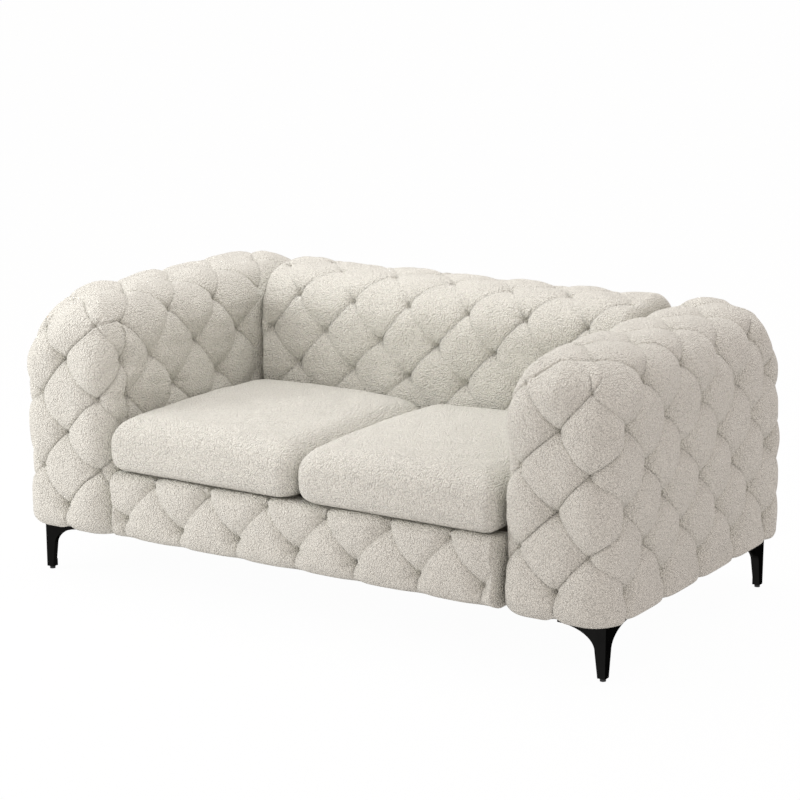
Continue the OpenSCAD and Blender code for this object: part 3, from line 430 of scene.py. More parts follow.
def arm_pleats(form, tufting, sense):
    """All folds of an arm and all its tufts: a diagonal lattice on the walls, the shoulders' tufts,
    the folds across the top, the upright pleats below and the bent ones at the top corners. The
    folds that rise by sense round the ring run deep from tuft to tuft on the ends; on the sides the
    others are the sharp ones."""
    top, outer_end = ARM_ROWS, 2 * ARM_COLUMNS
    inner, inner_end = outer_end + END_STEPS, 2 * outer_end + END_STEPS

    def spot(g, row):
        s = tufting.first_row + row * tufting.row_step
        place, outward = arm_form(np.array([float(g)]), np.array([s]), form)
        return place[0], outward[0]

    def fold(a, b, middle=None, **look):
        middle = middle or ((a[0] + b[0]) / 2, (a[1] + b[1]) / 2)
        return Pleat(path(spot, a, middle, b), **look)

    def on_side(g):
        return g % RING <= outer_end or inner <= g % RING <= inner_end

    # By whether the fold lies on a side, and whether it rises by sense.
    looks = {
        (True, True): {"pull": 1.1, "through": 0.0, "ends": (0.35, 0.2)},
        (True, False): {"pull": 0.95, "through": 0.3, "ends": (0.5, 1.0)},
        (False, True): {"pull": 1.05, "through": 0.8},
        (False, False): {"pull": 0.95, "through": 0.25, "ends": (0.8, 0.8)},
    }
    pleats, tufts = [], []
    for row in range(top - 1):
        for g in range(row % 2, RING, 2):
            for step in (sense, -sense):
                look = looks[on_side(g) and on_side(g + step), step == sense]
                pleats.append(fold((g, row), (g + step, row + 1), **look))
    for row in range(top):
        tufts += [spot(g, row) for g in range(row % 2, RING, 2)]
    for g in (*range(0, outer_end + 1, 2), *range(inner + 1, inner_end, 2)):
        tufts.append(spot(g, top))
        pleats += [fold((g, top), (g + way, top - 1)) for way in (-1, 1)]
        if g > outer_end:
            for way in (-1, 1):
                a, b = spot(g, top)[0], spot(inner_end - g - way, top)[0]
                pleats.append(Pleat([a, (a + b) / 2, b]))
    for g in range(0, RING, 2):
        a = spot(g, 0)[0]
        b = a - np.array([0.0, 0.0, tufting.first_row])
        pleats.append(Pleat([a, (a + b) / 2, b], through=0.6))
    # At each top corner a fold bent up to the shoulder, one round to the inner side and a short one.
    for end, way in ((0, -1), (outer_end, 1)):
        low = (end + 3 * way, top - 1)
        pleats += [
            fold(low, (end, top), (end + 2.4 * way, top - 0.3), through=0.75),
            fold(low, (end + 5 * way, top - 1), (end + 4 * way, top - 0.95), through=0.85),
            fold((end + way, top - 1), (end + way, top - 0.5), through=0.8, ends=(1.0, 0.0)),
        ]
    return pleats, tufts


def hem_share(over, facing, tufting):
    """Quarter circle by which the cover turns under, by the height over its lower edge: wide where
    it faces forwards or back (facing 1), narrow along the sides (facing 0)."""
    radius = mix(tufting.side_hem, tufting.front_hem, facing)
    return np.sqrt(np.maximum(0.0, 1.0 - (1.0 - unit(over / radius)) ** 2))


def scallop_rise(place, pleats, base, height, width):
    """How far the lower edge rises near the feet of the upright pleats, fading upwards."""
    rise = np.zeros(place.shape[:-1])
    for foot in (pleat.points[-1] for pleat in pleats):
        if abs(foot[2] - base) < SAME:
            d = ((place[..., :2] - foot[:2]) ** 2).sum(-1)
            rise = np.maximum(rise, np.exp(-d / width**2))
    return height * rise * unit(1.0 - (place[..., 2] - base) / EDGE_FADE) ** 2


def corner_shift(place, sinks, draws, form, tufting):
    """How far the outer top corners, front and rear, settle down and lean inwards below."""
    hw, hd = arm_sizes(form)[:2]
    move = np.zeros_like(place)
    for end, sink, draw in zip((-1.0, 1.0), sinks, draws):
        corner = np.array([hw, end * hd, form.height])
        settle, lean = (-0.2, -0.2 * end, -0.95), (-0.8, -0.6 * end, 0.0)
        for drop, amount, way in ((0.0, sink, settle), (tufting.draw_drop, draw, lean)):
            d = np.linalg.norm(place - corner + np.array([0.0, 0.0, drop]), axis=-1)
            move += amount * ease(1.0 - d / tufting.sink_reach)[..., None] * np.array(way)
    return move


def arm_surface(form, tufting, sinks, draws, sense, seed):
    """Points and faces of the right arm, with its outer top corners moved by sinks and draws.

    A ring of columns is carried up the side and over to the crest, pushed out along the outward
    direction by the puff times the padding left, and closed by a strip along the crest."""
    hw, hd, wall, arc, last = arm_sizes(form)
    detail = tufting.detail
    hem_count, low_count, top_count = 16, int(detail * 0.4), int(detail * 0.45)
    behind_cushion, side_scallop = 0.077, 0.4
    columns = RING * detail
    g = -END_STEPS / 2 + np.arange(columns) / detail
    hem_rows = tufting.front_hem * (1.0 - np.cos(np.linspace(0.0, math.pi / 2, hem_count)))
    low_rows = np.linspace(tufting.front_hem, tufting.first_row, low_count + 1)[1:]
    units = np.arange(1, ARM_ROWS * detail + 1)
    lattice_rows = tufting.first_row + tufting.row_step * units / detail
    crest = wall + arc + hw - form.top_radius - LEAST_RADIUS
    top_rows = np.linspace(lattice_rows[-1], crest, top_count + 1)[1:]
    s = np.concatenate([hem_rows, low_rows, lattice_rows, top_rows])
    place, outward = arm_form(g[None, :], s[:, None], form)
    pleats, tufts = arm_pleats(form, tufting, sense)
    left, relief = padding(place, pleats, tufts, tufting, seed)

    # On the inner side the tufting shows on top, round the ends, and over the cushions.
    x, y, z = np.moveaxis(place, -1, 0)
    shoulder = form.height - form.top_radius
    back_front = form.depth / 2 - form.back_inset - form.back_thickness
    top, ends = ease((z - shoulder) / EDGE_FADE), ease((np.abs(y) - last) / EDGE_FADE)
    seat = ease((z - form.deck - behind_cushion) / EDGE_FADE) * ease((back_front - y) / EDGE_FADE)
    shown = np.where(x > 0, 1.0, np.maximum(np.maximum(top, ends), seat))
    left = 1.0 - shown + shown * left
    corner = np.sqrt((hw - np.abs(x)) ** 2 + (hd - np.abs(y)) ** 2 + (form.height - z) ** 2)
    left *= 1.0 - tufting.corner_draw * ease(1.0 - corner / tufting.corner_reach)
    side = mix(tufting.puff, tufting.inner_puff, np.maximum(0.0, -outward[..., 0]))
    full = mix(side, tufting.top_puff, outward[..., 2])
    facing, over = np.abs(outward[..., 1]), z - form.base
    hem = hem_share(over, facing, tufting)
    height = full * left * hem + relief * shown * unit(over / FOLD_FADE)
    points = place + outward * height[..., None] + corner_shift(place, sinks, draws, form, tufting)
    rise = scallop_rise(place, pleats, form.base, tufting.scallop, tufting.scallop_width)
    points[..., 2] += rise * np.where(x > 0, mix(side_scallop, 1.0, facing), shown)

    row_unit = np.floor((s - tufting.first_row) / tufting.row_step + SAME).astype(int)
    faces = lattice_faces(row_unit, np.floor(g + SAME).astype(int))
    # The crest closes between the points of the last row, which face each other in pairs.
    first = (len(s) - 1) * columns
    after, middle = first + columns, first + columns // 2
    i = np.arange(1, columns // 2 - 1)
    faces += np.stack([first + i, first + i + 1, after - i - 1, after - i], -1).tolist()
    faces += [[first, first + 1, after - 1], [middle - 1, middle, middle + 1]]
    under, under_faces = turned_under(points[0], place[0], outward[0], form, after)
    points = handmade(np.concatenate([points.reshape(-1, 3), under]), form.base, tufting, seed + 2)
    return points + np.array([form.width / 2 - hw, 0.0, 0.0]), faces + under_faces


def turned_under(edge, place, outward, form, start):
    """Strip under an arm: from the lower edge inwards by 28 mm and flat, then up 5 mm, and closed.
    Its points are numbered from start."""
    rings, flat_from = [], 0.018
    for inset, lift in ((0.008, 0.0), (flat_from, 0.0), (0.028, 0.0), (0.030, 0.005)):
        ring = place - outward * np.array([1.0, 1.0, 0.0]) * inset
        scallop = (edge[:, 2] - form.base) * max(0.0, 1.0 - inset / flat_from)
        ring[:, 2] = form.base + lift + scallop
        rings.append(ring)
    count = len(edge)
    a = np.arange(count)
    b = (a + 1) % count
    starts = [0, *(start + k * count for k in range(len(rings)))]
    faces = []
    for below, here in zip(starts, starts[1:]):
        faces += np.stack([here + a, here + b, below + b, below + a], -1).tolist()
    return np.concatenate(rings), faces + [(starts[-1] + a[::-1]).tolist()]


class SOFA_OT_arms(bpy.types.Operator):
    """Tufted covers of the two arms"""

    bl_idname = "sofa.arms"
    bl_label = "Arms"

    def execute(self, context):
        form, tufting = context.scene.sofa_form, context.scene.sofa_tufting
        cloth = looped_fabric("arm_fabric", context.scene.sofa_colours)
        arms = (
            ("right", tufting.right_sink, tufting.right_draw, 1, 3),
            ("left", tufting.left_sink, (0.0, 0.0), -1, 57),
        )
        for side, sinks, draws, sense, seed in arms:
            points, faces = arm_surface(form, tufting, sinks, draws, sense, seed)
            if side == "left":
                points, faces = points * np.array([-1.0, 1.0, 1.0]), turned(faces)
            name, solids = f"arm_{side}", (f"arm_cover_{side}", f"arm_foam_{side}")
            make_piece(name, points, faces, "sofa", cloth, solids)
        return {"FINISHED"}


class Section:
    """A section carried along x between the arms and drawn in at its rounded ends. Its outline is
    made of straight parts and quarter arcs, each given by its start length, place, outward angle
    and radius (0 for a straight part)."""

    def __init__(self, parts, radius, form, tufting):
        self.parts, self.radius, self.step = parts, radius, tufting.seat_step
        self.half = seat_half(form, tufting)

    def outline(self, s):
        """Two coordinates and the outward direction, by the length s."""
        u, v, angle = np.zeros_like(s), np.zeros_like(s), np.zeros_like(s)
        for begin, (pu, pv), turn, radius in self.parts:
            here, d = s >= begin, s - begin
            if radius:
                a = turn - d / radius
                du = radius * (np.cos(a) - math.cos(turn))
                dv = radius * (np.sin(a) - math.sin(turn))
            else:
                a, du, dv = turn, d * math.sin(turn), -d * math.cos(turn)
            u, v = np.where(here, pu + du, u), np.where(here, pv + dv, v)
            angle = np.where(here, a, angle)
        return u, v, np.cos(angle), np.sin(angle)

    def at(self, x, s):
        """Points and outward directions. At a distance d from an end of radius r the section is
        drawn in by r - sqrt(r^2 - (r - d)^2)."""
        u, v, du, dv = self.outline(s)
        r, d = self.radius, self.half - np.abs(x)
        inset = np.where(d >= r, 0.0, r - np.sqrt(np.maximum(0.0, r**2 - (r - d) ** 2)))
        zeros = np.zeros(np.broadcast(x, s).shape)
        place = np.stack([x + zeros, u - du * inset, v - dv * inset], -1)
        return place, np.stack([zeros, du + zeros, dv + zeros], -1)

    def spot(self, column, s):
        """The point and the outward direction at one column and one length."""
        place, outward = self.at(np.array([column * self.step]), np.array([s]))
        return place[0], outward[0]

    def columns(self, detail):
        """Places along x: closely spaced round the ends, and by lattice steps between them."""
        end_count, gap_count = 9, 8
        quarter = np.sin(np.linspace(0.0, math.pi / 2, end_count))
        end = self.half - self.radius * (1.0 - quarter)
        middle = np.arange(-SEAT_COLUMNS * detail, SEAT_COLUMNS * detail + 1) * self.step / detail
        gap = np.linspace(middle[-1], end[0], gap_count)[1:-1]
        return np.concatenate([-end[::-1], -gap[::-1], middle, gap, end])

    def end_fade(self, place):
        """Share of the puff that is left towards the ends, sqrt(d / r)."""
        return np.sqrt(unit((self.half - np.abs(place[..., 0])) / self.radius))

    def faces(self, x, s_unit):
        """Faces of a strip whose rows are places along x and whose columns run round the section,
        closed round the section and at both ends."""
        x_unit = np.floor(x / self.step + SAME).astype(int)
        first = np.arange(len(s_unit))
        last = (len(x) - 1) * len(s_unit) + first
        return lattice_faces(x_unit, s_unit) + [first[::-1].tolist(), last.tolist()]


def seat_half(form, tufting):
    """Half the room between the arms' inner sides."""
    return form.width / 2 - form.arm_width - tufting.inner_puff - CLEARANCE


def back_section(form, tufting):
    """Front wall, quarter arc, flat crest, quarter arc and rear wall of the back, by the length
    from the foot of the front arc, and the lengths of its walls, arcs and crest."""
    rear = form.depth / 2 - form.back_inset
    front = rear - form.back_thickness
    r = form.top_radius
    shoulder = form.height - r
    wall, arc, flat = shoulder - form.deck - CLEARANCE, math.pi * r / 2, form.back_thickness - 2 * r
    parts = [
        (-wall, (front, shoulder - wall), math.pi, 0.0),
        (0.0, (front, shoulder), math.pi, r),
        (arc, (front + r, form.height), math.pi / 2, 0.0),
        (arc + flat, (rear - r, form.height), math.pi / 2, r),
        (2 * arc + flat, (rear, shoulder), 0.0, 0.0),
    ]
    return Section(parts, form.back_end, form, tufting), wall, arc, flat


def back_surface(form, tufting):
    """Points and faces of the back: its section carried along x, with the tufting pushed out."""
    section, wall, arc, flat = back_section(form, tufting)
    crest_share, low_count, high_count = 0.915, 8, 40
    crest = arc * crest_share
    x = section.columns(tufting.detail)
    units = np.arange(BACK_ROWS * tufting.detail, -REAR_ROWS * tufting.detail - 1, -1)
    lattice = crest - tufting.back_row / tufting.detail * units
    low = np.linspace(-wall, lattice[0], low_count)[:-1]
    high = np.linspace(lattice[-1], 2 * arc + flat + wall, high_count)[1:]
    s = np.concatenate([low, lattice, high])
    place, outward = section.at(x[:, None], s[None, :])

    def spot(column, row):
        return section.spot(column, crest - row * tufting.back_row)

    # A fold that falls to the left is the longer one, seen from the front.
    looks = ((-1, 0.75, 0.45), (1, 0.6, 0.1))
    pleats, tufts = [], []
    for row in range(-REAR_ROWS, BACK_ROWS + 1):
        for c in range(-SEAT_COLUMNS - 1, SEAT_COLUMNS + 2):
            if (c + row + REAR_ROWS) % 2:
                continue
            if abs(c) <= SEAT_COLUMNS:
                tufts.append(spot(c, row))
            if row < BACK_ROWS:
                for side, pull, through in looks:
                    way = path(spot, (c, row), (c + side / 2, row + 0.5), (c + side, row + 1))
                    pleats.append(Pleat(way, pull, through, (0.75, 0.75)))
    for c in range(-SEAT_COLUMNS, SEAT_COLUMNS + 1, 2):
        way = path(spot, (c, -REAR_ROWS), (c, -REAR_ROWS - 0.3), (c, -REAR_ROWS - 0.6))
        pleats.append(Pleat(way))
    left, relief = padding(place, pleats, tufts, tufting, 11)
    shoulder = form.height - form.top_radius
    rear_fade = ease((place[..., 2] - shoulder + form.top_radius / 2) / EDGE_FADE)
    fade = np.where(outward[..., 1] > 0, rear_fade, 1.0) * section.end_fade(place)
    full = mix(tufting.puff, tufting.top_puff, np.maximum(0.0, outward[..., 2]))
    height = (full * left + relief) * fade
    points = handmade(place + outward * height[..., None], form.base, tufting, 13)
    s_unit = np.floor((crest - s) / tufting.back_row - SAME).astype(int)
    return points, section.faces(x, s_unit)


class SOFA_OT_back(bpy.types.Operator):
    """Tufted cover of the back, with its rounded ends"""

    bl_idname = "sofa.back"
    bl_label = "Back"

    def execute(self, context):
        points, faces = back_surface(context.scene.sofa_form, context.scene.sofa_tufting)
        cloth = looped_fabric("back_fabric", context.scene.sofa_colours)
        solids = ("back_cover", "back_foam")
        make_piece("back", points, faces, "sofa", cloth, solids)
        return {"FINISHED"}


def rail_section(form, tufting):
    """Underside, edge, front wall, edge and top of the front rail, by the length from the foot of
    its front wall, and the lengths of its wall, edges and top."""
    front, r = -form.depth / 2 - form.rail_proud, form.rail_edge
    top = form.deck - tufting.rail_top_puff - CLEARANCE
    wall, arc, flat = top - form.rail_base - 2 * r, math.pi * r / 2, form.rail_depth - r
    parts = [
        (-arc - flat, (front + form.rail_depth, form.rail_base), 1.5 * math.pi, 0.0),
        (-arc, (front + r, form.rail_base), 1.5 * math.pi, r),
        (0.0, (front, form.rail_base + r), math.pi, 0.0),
        (wall, (front, top - r), math.pi, r),
        (wall + arc, (front + r, top), math.pi / 2, 0.0),
    ]
    return Section(parts, form.rail_end, form, tufting), wall, arc, flat


def rail_surface(form, tufting):
    """Points and faces of the front rail's cover: one row of whole diamonds between two tuft rows,
    upright pleats under the lower tufts and short folds over the upper ones."""
    section, wall, arc, flat = rail_section(form, tufting)
    x = section.columns(tufting.detail)
    lift = form.rail_base - form.base + form.rail_edge
    low, up = tufting.rail_low - lift, tufting.rail_up - lift
    marks = (-arc - flat, -arc, 0.0, low, up, wall + arc, wall + arc + flat)
    counts = (5, 7, 13, tufting.detail, 7, 11)
    spans = [np.linspace(*ends, endpoint=False) for ends in zip(marks, marks[1:], counts)]
    s = np.concatenate([*spans, marks[-1:]])
    place, outward = section.at(x[:, None], s[None, :])

    spot, pleats, tufts = section.spot, [], []
    for c in range(-SEAT_COLUMNS, SEAT_COLUMNS + 1, 2):
        tufts.append(spot(c, low))
        pleats.append(Pleat(path(spot, (c, low), (c, low / 2), (c, -arc)), through=0.8))
        for side, through, ends in ((-1, 0.2, (0.9, 0.2)), (1, 0.05, (0.25, 0.45))):
            way = path(spot, (c, low), (c + side / 2, (low + up) / 2), (c + side, up))
            pleats.append(Pleat(way, 1.4, through, ends))
    for c in range(1 - SEAT_COLUMNS, SEAT_COLUMNS, 2):
        tufts.append(spot(c, up))
        pleats.append(Pleat(path(spot, (c, up), (c, wall), (c, wall + arc)), through=0.6))
    left, relief = padding(place, pleats, tufts, tufting, 29)

    turn_depth, turn_height = 0.020, 0.01
    full = mix(tufting.rail_puff, tufting.rail_top_puff, np.maximum(0.0, outward[..., 2]))
    inward, over = place[..., 1] + form.depth / 2 + form.rail_proud, place[..., 2] - form.rail_base
    fade = section.end_fade(place) * unit((form.rail_depth - inward) / form.rail_edge)
    hem = hem_share(over, 1.0, tufting)
    height = (full * left * hem + relief * unit(over / FOLD_FADE)) * fade
    outward[..., 2] = np.maximum(0.0, outward[..., 2])
    points = place + outward * height[..., None]
    scallop = (tufting.rail_scallop, tufting.rail_scallop_width)
    behind = inward / turn_depth
    points[..., 2] += scallop_rise(place, pleats, form.rail_base, *scallop) * unit(1.0 - behind)
    # Behind the front edge the underside drops to the level of the arms' undersides.
    drop = (form.rail_base - form.base) * ease(behind) * unit(1.0 - over / turn_height)
    points[..., 2] -= drop
    points = handmade(points, form.rail_base, tufting, 31)
    s_unit = np.floor((s - low) / (up - low) + SAME).astype(int)
    return points, turned(section.faces(x, s_unit))


class SOFA_OT_front_rail(bpy.types.Operator):
    """Tufted cover of the rail under the seat cushions"""

    bl_idname = "sofa.front_rail"
    bl_label = "Front rail"

    def execute(self, context):
        points, faces = rail_surface(context.scene.sofa_form, context.scene.sofa_tufting)
        cloth = looped_fabric("rail_fabric", context.scene.sofa_colours)
        solids = ("front_rail_cover", "front_rail_foam")
        make_piece("front_rail", points, faces, "sofa", cloth, solids)
        return {"FINISHED"}


def rounded_plan(angle, hx, hy, radii):
    """Point on a rectangle of half sizes hx and hy with corners of four radii, from the one at +x,
    +y round by +y first, by an angle round it that spends part of each quarter on a corner's arc
    and the rest on the side after it."""
    arc_share = 0.45
    turn = np.mod(angle / (2 * math.pi), 1.0) * 4.0
    corner = np.floor(turn).astype(int) % 4
    t = turn - np.floor(turn)
    r, following = np.choose(corner, radii), np.choose((corner + 1) % 4, radii)
    bend = unit(t / arc_share) * (math.pi / 2) + corner * (math.pi / 2)
    run = unit((t - arc_share) / (1.0 - arc_share))
    sx, sy = np.array([1.0, -1.0, -1.0, 1.0])[corner], np.array([1.0, 1.0, -1.0, -1.0])[corner]
    ax, ay = np.array([-1.0, 0.0, 1.0, 0.0])[corner], np.array([0.0, -1.0, 0.0, 1.0])[corner]
    x = sx * (hx - r) + r * np.cos(bend) + ax * run * (2 * hx - r - following)
    return x, sy * (hy - r) + r * np.sin(bend) + ay * run * (2 * hy - r - following)


def plan_rows(angle, insets, levels, half, radii, shrink):
    """Points of rounded rectangles, each drawn in by its inset and lying at its level. Their
    corners get smaller by shrink times the inset."""
    least = 0.004
    radii = [np.maximum(least, radius - shrink * insets) for radius in radii]
    x, y = rounded_plan(angle[None, :], half[0] - insets, half[1] - insets, radii)
    return np.stack([x, y, levels + np.zeros_like(x)], -1).reshape(-1, 3)


def cushion_surface(box_low, box_high, cushions, radii, seed):
    """A boxed cushion: a rounded rectangle carried from the middle of the flat underside, round a
    full side and over the crowned top. The side is half a superellipse, squarer below than above
    and softest in front; the crown is (1 - u^2)(1 - v^2), less at the corners; a slow ripple lies
    over it."""
    low, high = np.array(box_low), np.array(box_high)
    middle, half = (low + high) / 2, (high - low) / 2
    thick = high[2] - low[2] - cushions.crown
    count, side_count, front_from = 168, 45, 0.55
    angle = np.arange(count) / count * 2 * math.pi
    plan_y = rounded_plan(angle, half[0], half[1], radii)[1]
    front = ease((-plan_y / half[1] - front_from) / (1.0 - front_from))
    top_power = mix(cushions.rear_power, cushions.front_power, front)
    side = np.linspace(0.0, math.pi, side_count)[1:-1, None]
    power = np.where(side < math.pi / 2, cushions.low_power, top_power[None, :])
    z = 0.5 - 0.5 * np.sign(np.cos(side)) * np.abs(np.cos(side)) ** (2 / power)
    inset = 0.5 * thick * (1.0 - np.abs(np.sin(side)) ** (2 / power))

    def flat_rows(first, last, rows):
        """Insets of rows on a flat face, by their shares of the way out from its middle."""
        reach, rim = min(half[0], half[1]), 0.5 * thick
        out = reach - (reach - rim) * np.linspace(first, last, rows)
        return out[:, None] * np.ones((1, count))

    under, over = flat_rows(0.06, 0.93, 10), flat_rows(0.93, 0.06, 16)
    insets = np.concatenate([under, inset, over])
    levels = np.concatenate([0.0 * under, z, 0.0 * over + 1.0])
    points = plan_rows(angle, insets, levels, half, radii, 0.45)
    points = np.concatenate([points, [[0.0, 0.0, 0.0], [0.0, 0.0, 1.0]]])
    u, v, level = points[:, 0] / half[0], points[:, 1] / half[1], points[:, 2].copy()
    bulge = cushions.crown * ((1 - u**2) * (1 - v**2) - cushions.droop * u**2 * v**2)
    points[:, 2] = low[2] + level * thick + bulge * unit(2 * level - 1)
    points[:, :2] += middle[:2]
    # Height and length of a slow ripple and of a quicker one.
    ripples = ((0.0016, 0.30), (0.0006, 0.11))
    uneven = sum(rise * ripple(points, span, seed + k) for k, (rise, span) in enumerate(ripples))
    points[:, 2] += uneven * unit(2 * level - 1)
    rows, pole = len(insets), len(points) - 2
    faces = square_faces(rows, count) + turned(fan(0, count, pole))
    return points, faces + fan((rows - 1) * count, count, pole + 1)


class SOFA_OT_seat_cushions(bpy.types.Operator):
    """The two loose seat cushions"""

    bl_idname = "sofa.seat_cushions"
    bl_label = "Seat cushions"

    def execute(self, context):
        cushions = context.scene.sofa_cushions
        # An untufted cover keeps its loops higher.
        cloth = looped_fabric("cushion_fabric", context.scene.sofa_colours, 0.0090, 0.74)
        for side, front_corner, seed in (("right", 3, 40), ("left", 2, 43)):
            low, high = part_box(f"cushion_cover_{side}")
            radii = [cushions.corner] * 4
            radii[front_corner] = cushions.arm_corner
            points, faces = cushion_surface(low, high, cushions, radii, seed)
            name, body = f"seat_cushion_{side}", f"cushion_{side}"
            solids = (f"cushion_cover_{side}", f"cushion_core_{side}")
            make_piece(name, points, faces, body, cloth, solids)
        return {"FINISHED"}


def panel_surface(box_low, box_high, axis, corner, crown):
    """A padded panel: a rounded rectangle with a soft edge and a crowned face. Its thickness t lies
    along axis, and its face is at t (1 - crown + crown sqrt((1 - u^2)(1 - v^2)))."""
    low, high = np.array(box_low), np.array(box_high)
    middle, half = (low + high) / 2, (high - low) / 2
    flat = [k for k in range(3) if k != axis]
    thick = high[axis] - low[axis]
    count, edge_count, face_count, widest_edge = 144, 9, 14, 0.02
    angle = np.arange(count) / count * 2 * math.pi
    bend = np.linspace(0.0, math.pi / 2, edge_count)
    edge = min(thick * 0.8, widest_edge)
    face = np.linspace(edge, half[flat].min(), face_count)[1:-1]
    insets = np.concatenate([[0.0], edge * (1.0 - np.cos(bend)), face])
    rising = 1.0 - (edge / thick) * (1.0 - np.sin(bend))
    levels = np.concatenate([[0.0], rising, np.ones(len(face))])
    points = plan_rows(angle, insets[:, None], levels[:, None], half[flat], [corner] * 4, 0.5)
    points = np.concatenate([points, [[0.0, 0.0, 1.0]]])
    u, v = points[:, 0] / half[flat[0]], points[:, 1] / half[flat[1]]
    rise = (1.0 - crown) + crown * np.sqrt(np.maximum(0.0, (1 - u**2) * (1 - v**2)))
    out = np.zeros_like(points)
    out[:, flat] = points[:, :2] + middle[flat]
    out[:, axis] = low[axis] + thick * points[:, 2] * rise
    faces = square_faces(len(insets), count)
    faces += fan((len(insets) - 1) * count, count, len(points) - 1) + [list(range(count))[::-1]]
    return out, turned(faces) if axis == 1 else faces


class SOFA_OT_outside_back(bpy.types.Operator):
    """Plain padded panel over the rear of the back"""

    bl_idname = "sofa.outside_back"
    bl_label = "Outside back"

    def execute(self, context):
        low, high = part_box("outside_back_panel")
        points, faces = panel_surface(low, high, axis=1, corner=0.018, crown=0.35)
        cloth = looped_fabric("outside_back_fabric", context.scene.sofa_colours)
        solids = ("outside_back_panel",)
        make_piece("outside_back", points, faces, "sofa", cloth, solids)
        return {"FINISHED"}


class SOFA_OT_deck(bpy.types.Operator):
    """Padded deck under the seat cushions"""

    bl_idname = "sofa.deck"
    bl_label = "Seat deck"

    def execute(self, context):
        low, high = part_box("seat_deck")
        points, faces = panel_surface(low, high, axis=2, corner=0.012, crown=0.12)
        cloth = plain_weave("deck_fabric", context.scene.sofa_colours.deck)
        make_piece("deck_pad", points, faces, "sofa", cloth, ("seat_deck",))
        return {"FINISHED"}


def cloth_cut(x0, x1, y0, y1, z):
    """A flat cut of cloth that sags a little between its stapled edges, by -h (1 - u^2)(1 - v^2),
    and is puckered along two of them."""
    count, sag, waves, hem = 40, 0.0002, 60, 0.97
    u, v = np.meshgrid(np.linspace(-1, 1, count), np.linspace(-1, 1, count), indexing="xy")
    low = -sag * (1 - u**2) * (1 - v**2) + sag * np.sin(u * waves) * (np.abs(v) > hem)
    x, y = (x0 + x1) / 2 + u * (x1 - x0) / 2, (y0 + y1) / 2 + v * (y1 - y0) / 2
    return np.stack([x, y, z + low], -1), turned(square_faces(count, count, wrap=False))


class SOFA_OT_dust_cloth(bpy.types.Operator):
    """Thin cloth stapled under the frame, in three cuts"""

    bl_idname = "sofa.dust_cloth"
    bl_label = "Dust cloth"

    def execute(self, context):
        form = context.scene.sofa_form
        cloth = plain_weave("dust_cloth_fabric", context.scene.sofa_colours.dust)
        low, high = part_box("dust_cover")
        arm_margin, seat_margin, seat_front, seat_rear, lift = 0.030, 0.010, -0.429, 0.410, 0.0004
        arm_half = form.arm_width / 2 - arm_margin
        arm_x = form.width / 2 - form.arm_width / 2
        seat = seat_half(form, context.scene.sofa_tufting) - seat_margin - CLEARANCE
        cuts = (
            ("dust_cloth_seat", -seat, seat, seat_front, seat_rear),
            ("dust_cloth_right", arm_x - arm_half, arm_x + arm_half, low[1], high[1]),
            ("dust_cloth_left", -arm_x - arm_half, -arm_x + arm_half, low[1], high[1]),
        )
        for name, x0, x1, y0, y1 in cuts:
            points, faces = cloth_cut(x0, x1, y0, y1, low[2] + lift)
            piece = make_piece(name, points, faces, "sofa", cloth, ("dust_cover",))
            x1 - x0
            y1 - y0
        return {"FINISHED"}


class Wire:
    """A socket of a node tree. Arithmetic on it adds Math nodes, and node() adds any other."""

    def __init__(self, tree, socket):
        self.tree, self.socket = tree, socket

    def node(self, kind, settings=None, values=None, output=0):
        """Adds a node of a kind, with its settings made first, then the values or wires of its
        sockets, and returns the wire of one output."""
        node = self.tree.nodes.new(kind)
        for name, value in (settings or {}).items():
            setattr(node, name, value)
        for name, value in (values or {}).items():
            if isinstance(value, Wire):
                self.tree.links.new(value.socket, node.inputs[name])
            else:
                node.inputs[name].default_value = value
        return Wire(self.tree, node.outputs[output])

    def maths(self, operation, a, b=0.0):
        return self.node("ShaderNodeMath", {"operation": operation}, {0: a, 1: b})

    def __add__(self, other):
        return self.maths("ADD", self, other)

    def __radd__(self, other):
        return self.maths("ADD", other, self)

    def __sub__(self, other):
        return self.maths("SUBTRACT", self, other)

    def __rsub__(self, other):
        return self.maths("SUBTRACT", other, self)

    def __mul__(self, other):
        return self.maths("MULTIPLY", self, other)

    def __rmul__(self, other):
        return self.maths("MULTIPLY", other, self)


def noise(place, scale, detail=2.0, roughness=0.5):
    """A cloudy pattern from 0 to 1."""
    values = {"Vector": place, "Scale": scale, "Detail": detail, "Roughness": roughness}
    return place.node("ShaderNodeTexNoise", {}, values)


def wave(place, settings, values):
    """A wave pattern from 0 to 1."""
    value_output = 1
    return place.node("ShaderNodeTexWave", settings, {"Vector": place, **values}, value_output)


def blend(part, low, high):
    """The colour between low and high by part, a wire."""
    low_socket, high_socket, colour_output = 6, 7, 2
    values = {0: part, low_socket: (*low, 1.0), high_socket: (*high, 1.0)}
    settings = {"data_type": "RGBA", "clamp_factor": True}
    return part.node("ShaderNodeMix", settings, values, colour_output)


def bump(relief, distance, strength=1.0):
    """The normal of a surface whose relief is a pattern times a distance."""
    values = {"Strength": strength, "Distance": distance, "Height": relief}
    return relief.node("ShaderNodeBump", {}, values)


def shade(tint, level):
    """A colour made darker or lighter by a level."""
    return tuple(level * c for c in tint)


def finish_of(name, **sockets):
    """A new material with one Principled shader whose plain sockets are set. Returns the material,
    the shader node and the wire of the object's own coordinates."""
    material = bpy.data.materials.new(name)
    material.use_nodes = True
    tree = material.node_tree
    shader = tree.nodes["Principled BSDF"]
    for socket, value in sockets.items():
        shader.inputs[socket.replace("_", " ")].default_value = value
    coordinates = tree.nodes.new("ShaderNodeTexCoord")
    return material, shader, Wire(tree, coordinates.outputs["Object"])


def feed(node, **wires):
    """Links wires to a node's sockets of those names."""
    for socket, wire in wires.items():
        wire.tree.links.new(wire.socket, node.inputs[socket.replace("_", " ")])


